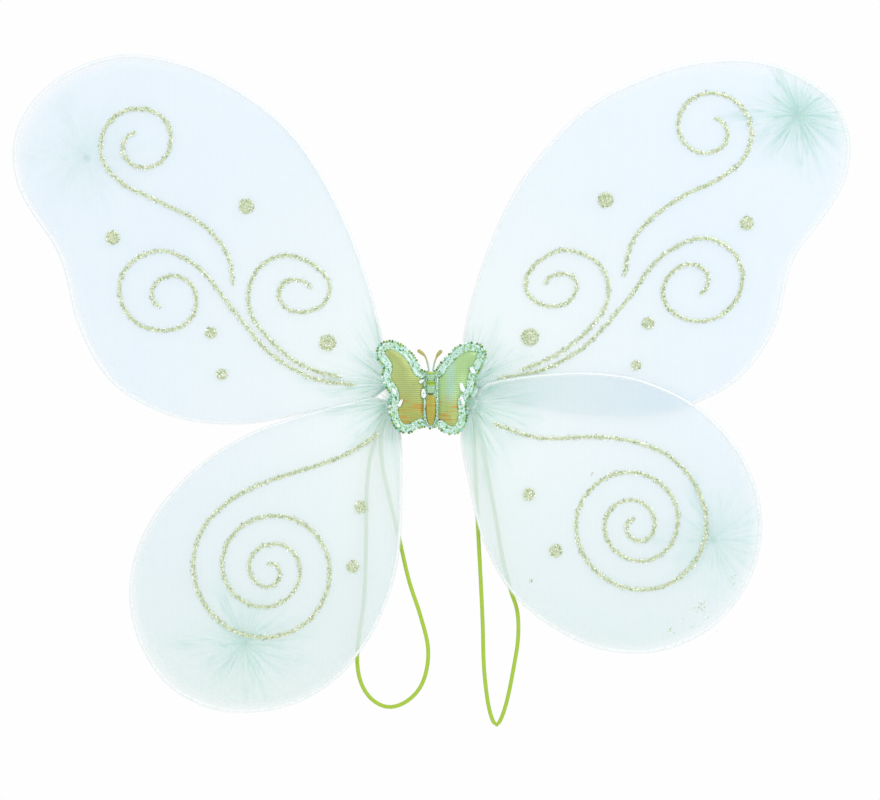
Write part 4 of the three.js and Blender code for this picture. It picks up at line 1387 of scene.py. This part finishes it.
class FAIRY_OT_butterfly_border(bpy.types.Operator):
    """Add the padded iridescent trim round both halves, with its picots"""

    bl_idname = "fairy.butterfly_border"
    bl_label = "Butterfly trim"

    def execute(self, context):
        settings = context.scene.fairy_butterfly
        trim = iridescent_trim("iridescent_satin_stitch")
        thread = picot_thread("metallic_picot_thread")
        draw = np.random.default_rng(SEED + 1)
        bpy.ops.object.select_all(action="DESELECT")
        bpy.ops.mesh.primitive_uv_sphere_add(segments=8, ring_count=5, radius=1)
        bead = context.object
        shape = np.array([v.co[:] for v in bead.data.vertices])
        faces = [list(p.vertices) for p in bead.data.polygons]
        bpy.data.objects.remove(bead)
        for side in SIDES:
            back = span(f"butterfly_{side}_border", 1)[1]
            outline = half_outline(side, 0.55)
            band = self.band(side, outline, back, settings, trim)
            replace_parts(band, f"butterfly_{side}_border")
            net = Net()
            edge = half_outline(side, settings.bead / MM)
            outward = -inward_of(edge, closed=True)
            for at, away in zip(edge, outward):
                if abs(at[0]) < 1.2 and -20 < at[1] < 7:
                    continue  # the body lies over the inner side
                size = PICOT_RADIUS * draw.uniform(0.85, 1.15)
                place = at + away * draw.uniform(0.1, 0.45)
                middle = np.array([place[0], back - 0.95, place[1]])
                net.add(middle + shape * size, faces, shade=draw.random())
            net.piece(f"butterfly_{side}_picots", thread, "mint_trim", "centre")
        # The pearl loops at the waist are partly real trim and partly painted highlights on the padded trim.
        self.loops(span("butterfly_left_panel", 1)[0] + 0.35, pearl_highlight_thread("pearl_highlight_stitch"))
        return {"FINISHED"}

    def band(self, side, outline, back, settings, trim):
        """Two rolls of satin stitch, the outer one higher, on a flat back."""
        inward = inward_of(outline, closed=True)
        across = np.linspace(0, 1, 13)
        width = np.where(abs(outline[:, 0]) < 1, BORDER_WIDTH - LESS_INSIDE, BORDER_WIDTH)
        for _ in range(14):  # narrower where the two sides of a lobe come close
            gap = distance_to(outline + inward * width[:, None], outline)
            width = np.where(gap < width - 0.12, width - 0.25, width)
        width = np.maximum(width, 0.6)
        pitch = settings.stitch / MM
        steps = np.linalg.norm(np.roll(outline, -1, 0) - outline, axis=1)
        along = np.cumsum(steps)
        rows, grooves = [], []
        for i, (at, into) in enumerate(zip(outline, inward)):
            for t in across:
                height = 0.45
                for tall, middle, half in BORDER_ROLLS:
                    height = max(height, tall * max(0.0, 1 - ((t - middle) / half) ** 2) ** 0.5)
                stitch = 0.16 * math.cos(2 * math.pi * (along[i] / pitch + 0.35 * t))
                # How much painted shade each point takes, most in the grooves between the rolls.
                grooves.append(0.75 * max(0.0, 1 - abs(height - 0.45) / 0.5))
                place = at + into * width[i] * t
                crinkle = 0.2 * rough(place[0] * 1.1, place[1] * 1.1, 3.3)
                height += (stitch + crinkle) * min(1, height)
                rows.append((place[0], back - max(0.15, height), place[1]))
            x, z = at + into * width[i]
            rows += [(x, back, z), (at[0], back, at[1])]
            grooves += [0.5, 0.5]
        faces = grid(len(outline), len(across) + 2, True, True)
        if turns_left(outline) > 0:
            faces = [f[::-1] for f in faces]
        net = Net()
        net.add(rows, faces, groove=grooves)
        return net.piece(f"butterfly_{side}_trim", trim, "mint_trim", "centre")

    def loops(self, front, trim):
        """Pearl loops of the same stitch over each half's waist, partly real loops of trim and partly painted
        highlights of the padded trim: x, z, lean in degrees, length, width.
        """
        net = Net()
        shapes = (
            (-3.9, -3.0, 8, 5.0, 3.0), (-20.0, -1.8, 30, 3.8, 2.1), (-16.6, -8.2, -28, 4.6, 2.0),
            (16.8, 0.4, 18, 5.2, 2.7), (17.0, -6.8, 22, 5.0, 2.0), (22.4, 9.6, 35, 4.0, 2.3),
            (-5.0, 3.6, -62, 3.0, 1.9),
        )
        for x, z, lean, length, width in shapes:
            angle = math.radians(90 + lean)
            way = np.array([math.cos(angle), 0, math.sin(angle)])
            share = np.linspace(-1, 1, 17)
            line = np.array([x, front + 0.25, z]) + np.outer(share * length / 2, way)
            swell = np.sqrt(1.05 - share**4) * (0.9 - 0.2 * share)
            tube(net, line, width / 2 * swell, 12, depth=0.55 * swell)
        net.piece("butterfly_pearl_highlight_loops", trim, "mint_trim", "centre")


class FAIRY_OT_butterfly_panels(bpy.types.Operator):
    """Add the padded ribbed lame inside the trim"""

    bl_idname = "fairy.butterfly_panels"
    bl_label = "Butterfly panels"

    def execute(self, context):
        settings = context.scene.fairy_butterfly
        materials = {
            "left": ribbed_lame("olive_gold_ribbed_lame", settings.left, settings.low),
            "right": ribbed_lame("light_green_ribbed_lame", settings.right, settings.low, settings.sheen),
        }
        slots = {"left": "gold_lame", "right": "green_lame"}
        for side in SIDES:
            outline = half_outline(side, 0.9)
            back = span(f"butterfly_{side}_panel", 1)[1]
            step = 0.24
            low, high = outline.min(0), outline.max(0)
            xs, zs = np.arange(low[0], high[0], step), np.arange(low[1], high[1], step)
            gx, gz = np.meshgrid(xs, zs)
            places = np.stack([gx.ravel(), gz.ravel()], axis=1)
            past_middle = outline.copy()
            past_middle[abs(outline[:, 0]) < 1, 0] -= math.copysign(LESS_INSIDE, outline[:, 0].sum())
            depth = np.where(inside(places, outline), distance_to(places, past_middle), -1)
            depth = depth.reshape(gx.shape) - (BORDER_WIDTH - 0.45)
            keep = depth > 0
            number = np.full(gx.shape, -1)
            faces, points = [], []
            for cell in cells(len(zs), len(xs)):
                if all(keep[c] for c in cell):
                    for c in cell:
                        if number[c] < 0:
                            number[c] = len(points)
                            points.append((xs[c[1]], zs[c[0]], float(depth[c])))
                    faces.append([int(number[c]) for c in cell])
            net = Net()
            front = [(x, self.surface(x, z, d, back, settings), z) for x, z, d in points]
            rear = [(x, back, z) for x, z, _ in points]
            edges = dict.fromkeys((a, b) for face in faces for a, b in zip(face, face[1:] + face[:1]))
            count = len(points)
            walls = [[b, a, a + count, b + count] for a, b in edges if (b, a) not in edges]
            net.add(front + rear, faces + [[i + count for i in f][::-1] for f in faces] + walls)
            panel = net.piece(f"butterfly_{side}_lame", materials[side], slots[side], "centre")
            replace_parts(panel, f"butterfly_{side}_panel")
        return {"FINISHED"}

    def surface(self, x, z, depth, back, settings):
        """A low dome with woven ribs, which are flattest in the smooth upper lobes."""
        dome = 0.75 + 1.75 * (1 - math.exp(-depth / 2.6))
        ribs = 0.11 * math.cos(2 * math.pi * z / (settings.rib / MM)) * min(1, max(0.15, (12 - z) / 10))
        puff = 0.16 * rough(x / 6, z / 6, 5.5)
        return back - dome - ribs - puff


class FAIRY_OT_butterfly_body(bpy.types.Operator):
    """Add the padded head, thorax and abdomen, with piping round them"""

    bl_idname = "fairy.butterfly_body"
    bl_label = "Butterfly body"

    def execute(self, context):
        settings = context.scene.fairy_butterfly
        materials = {
            "head": ribbed_lame("mint_ribbed_lame", linear("#A9D6AE"), linear("#A9D6AE")),
            "abdomen": ribbed_lame("amber_ribbed_lame", linear("#B9B84E"), linear("#B9B84E")),
        }
        # Half widths up the piece, as shares of its widest, at shares of its height.
        shapes = {
            "head": [
                (0, 0.05), (0.05, 0.72), (0.27, 0.95), (0.5, 0.8), (0.6, 0.62), (0.75, 0.9), (0.92, 0.7),
                (1, 0.05),
            ],
            "abdomen": [
                (0, 0.05), (0.07, 0.45), (0.32, 0.86), (0.62, 1.0), (0.88, 0.88), (0.97, 0.6), (1, 0.05),
            ],
        }
        for part, profile in shapes.items():
            node = f"butterfly_{part}"
            body = self.ribbed_body(node, profile, settings.rib / MM, materials[part])
            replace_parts(body, node)
        self.piping()
        self.bands()
        return {"FINISHED"}

    def bands(self):
        """Yellow-green bands of thread round the head and the waist of the thorax."""
        (x0, x1), (y0, y1) = span("butterfly_head", 0), span("butterfly_head", 1)
        net = Net()
        turn = circle(36)
        for z, wide in ((2.0, 0.9), (3.2, 0.82), (7.9, 0.8)):  # place up the head, and share of its width
            x = (x0 + x1) / 2 + (x1 - x0) / 2 * wide * np.cos(turn)
            y = (y0 + y1) / 2 + (y1 - y0) / 2 * wide * np.sin(turn)
            tube(net, np.stack([x, y, np.full(len(turn), z)], axis=1), 0.5, 8, closed=True)
        band = metallic_cord("green_metallic_band", "#A8C440", "#A8C440")
        net.piece("butterfly_body_bands", band, "mint_trim", "centre")

    def ribbed_body(self, node, profile, pitch, material):
        """A rounded body that fills a CAD node's box, with ribs round it."""
        (x0, x1), (y0, y1), (z0, z1) = (span(node, axis) for axis in range(3))
        shares = np.linspace(0, 1, 64)
        widths = np.interp(shares, *zip(*smooth_line(profile, 0.02)))
        count = 28
        points = []
        for share, width in zip(shares, widths):
            z = z0 + (z1 - z0) * share
            width *= 1 + 0.05 * math.cos(2 * math.pi * z / pitch)
            for i in range(count):
                angle = 2 * math.pi * i / count
                x = (x0 + x1) / 2 + (x1 - x0) / 2 * width * math.cos(angle)
                y = (y0 + y1) / 2 + (y1 - y0) / 2 * width * math.sin(angle)
                points.append((x, y, z))
        faces = grid(len(shares), count, closed_columns=True) + end_faces(len(shares), count)
        net = Net()
        net.add(points, faces)
        return net.piece(f"{node}_padded", material, "amber_lame", "centre")

    def piping(self):
        """A cord of iridescent thread round the abdomen and up both sides of the thorax."""
        front = span("butterfly_left_border", 1)[0]
        (x0, x1), (z0, z1) = span("butterfly_abdomen", 0), span("butterfly_abdomen", 2)
        wide = (x1 - x0) / 2 + 0.5
        net = Net()
        turn = np.linspace(math.radians(112), math.radians(428), 60)
        middle, tall = (z0 + z1) / 2, (z1 - z0) / 2 + 0.6
        line = np.stack([wide * np.cos(turn), middle + tall * np.sin(turn)], axis=1)
        tube(net, at_depth(line, front + 0.05), 0.48, 8)
        for side in (-1, 1):
            route = [(1.5, -3.4), (2.7, -1), (2.6, 2.4), (2.3, 5.5), (1.6, 8.6)]
            line = smooth_line([(side * x, z) for x, z in route], 0.7)
            tube(net, at_depth(line, front), 0.42, 8)
        net.piece("butterfly_body_piping", iridescent_trim("iridescent_piping"), "mint_trim", "centre")


class FAIRY_OT_antennae(bpy.types.Operator):
    """Add the two cord antennae"""

    bl_idname = "fairy.antennae"
    bl_label = "Antennae"

    def execute(self, context):
        material = metallic_cord("gold_metallic_cord", "#9CCBC0", "#B5AE62")
        y = sum(span("left_antenna", 1)) / 2
        routes = {
            "left": [(-1.1, 9.2), (-1.9, 13.4), (-3.4, 17.4), (-6.8, 20.3)],
            "right": [(1.1, 9.2), (1.9, 13.4), (3.4, 17.4), (5.6, 20)],
        }
        for side in SIDES:
            line = smooth_line([(x, y, z) for x, z in routes[side]], 0.5)
            share = np.linspace(0, 1, len(line))
            net = Net()
            tube(net, line, 0.48 + 0.5 * np.clip((share - 0.62) / 0.2, 0, 1), 10)
            antenna = net.piece(f"{side}_antenna_cord", material, "gold_cord", "centre")
            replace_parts(antenna, f"{side}_antenna")
        return {"FINISHED"}


class FAIRY_OT_backing(bpy.types.Operator):
    """Give the butterfly's backing its felt"""

    bl_idname = "fairy.backing"
    bl_label = "Butterfly backing"

    def execute(self, context):
        backing = frame["nodes"]["butterfly_backing"]
        backing.data.materials.clear()
        backing.data.materials.append(needled_felt("white_backing_felt"))
        return {"FINISHED"}


# ---- The panel, and running the script ----


class FAIRY_PT_panel(bpy.types.Panel):
    """The pieces of the wings, in the order that they are made"""

    bl_idname = "FAIRY_PT_panel"
    bl_label = "Fairy Wings"
    bl_space_type = "VIEW_3D"
    bl_region_type = "UI"
    bl_category = "Fairy Wings"

    def draw(self, context):
        for operator in OPERATORS:
            self.layout.operator(operator.bl_idname)
        for name, group in SETTINGS.items():
            box = self.layout.box()
            for setting in group.__annotations__:
                box.prop(getattr(context.scene, name), setting)


SETTINGS = {
    "fairy_cloth": FairyClothSettings,
    "fairy_glitter": FairyGlitterSettings,
    "fairy_butterfly": FairyButterflySettings,
    "fairy_elastic": FairyElasticSettings,
    "fairy_stage": FairyStageSettings,
}
OPERATORS = (
    FAIRY_OT_stage, FAIRY_OT_arm_loops, FAIRY_OT_wing_wires, FAIRY_OT_wing_sleeves, FAIRY_OT_tip_gathers,
    FAIRY_OT_glitter, FAIRY_OT_root_bindings, FAIRY_OT_core_winding, FAIRY_OT_back_pad, FAIRY_OT_backing,
    FAIRY_OT_butterfly_border, FAIRY_OT_butterfly_panels, FAIRY_OT_butterfly_body, FAIRY_OT_antennae,
)


def register():
    for kind in (*SETTINGS.values(), *OPERATORS, FAIRY_PT_panel):
        bpy.utils.register_class(kind)
    for name, group in SETTINGS.items():
        setattr(bpy.types.Scene, name, bpy.props.PointerProperty(type=group))


def unregister():
    for name in SETTINGS:
        delattr(bpy.types.Scene, name)
    for kind in reversed((*SETTINGS.values(), *OPERATORS, FAIRY_PT_panel)):
        bpy.utils.unregister_class(kind)


def main():
    register()
    for operator in OPERATORS:
        group, name = operator.bl_idname.split(".")
        getattr(getattr(bpy.ops, group), name)()
    bpy.context.view_layer.update()


if __name__ == "__main__":
    main()
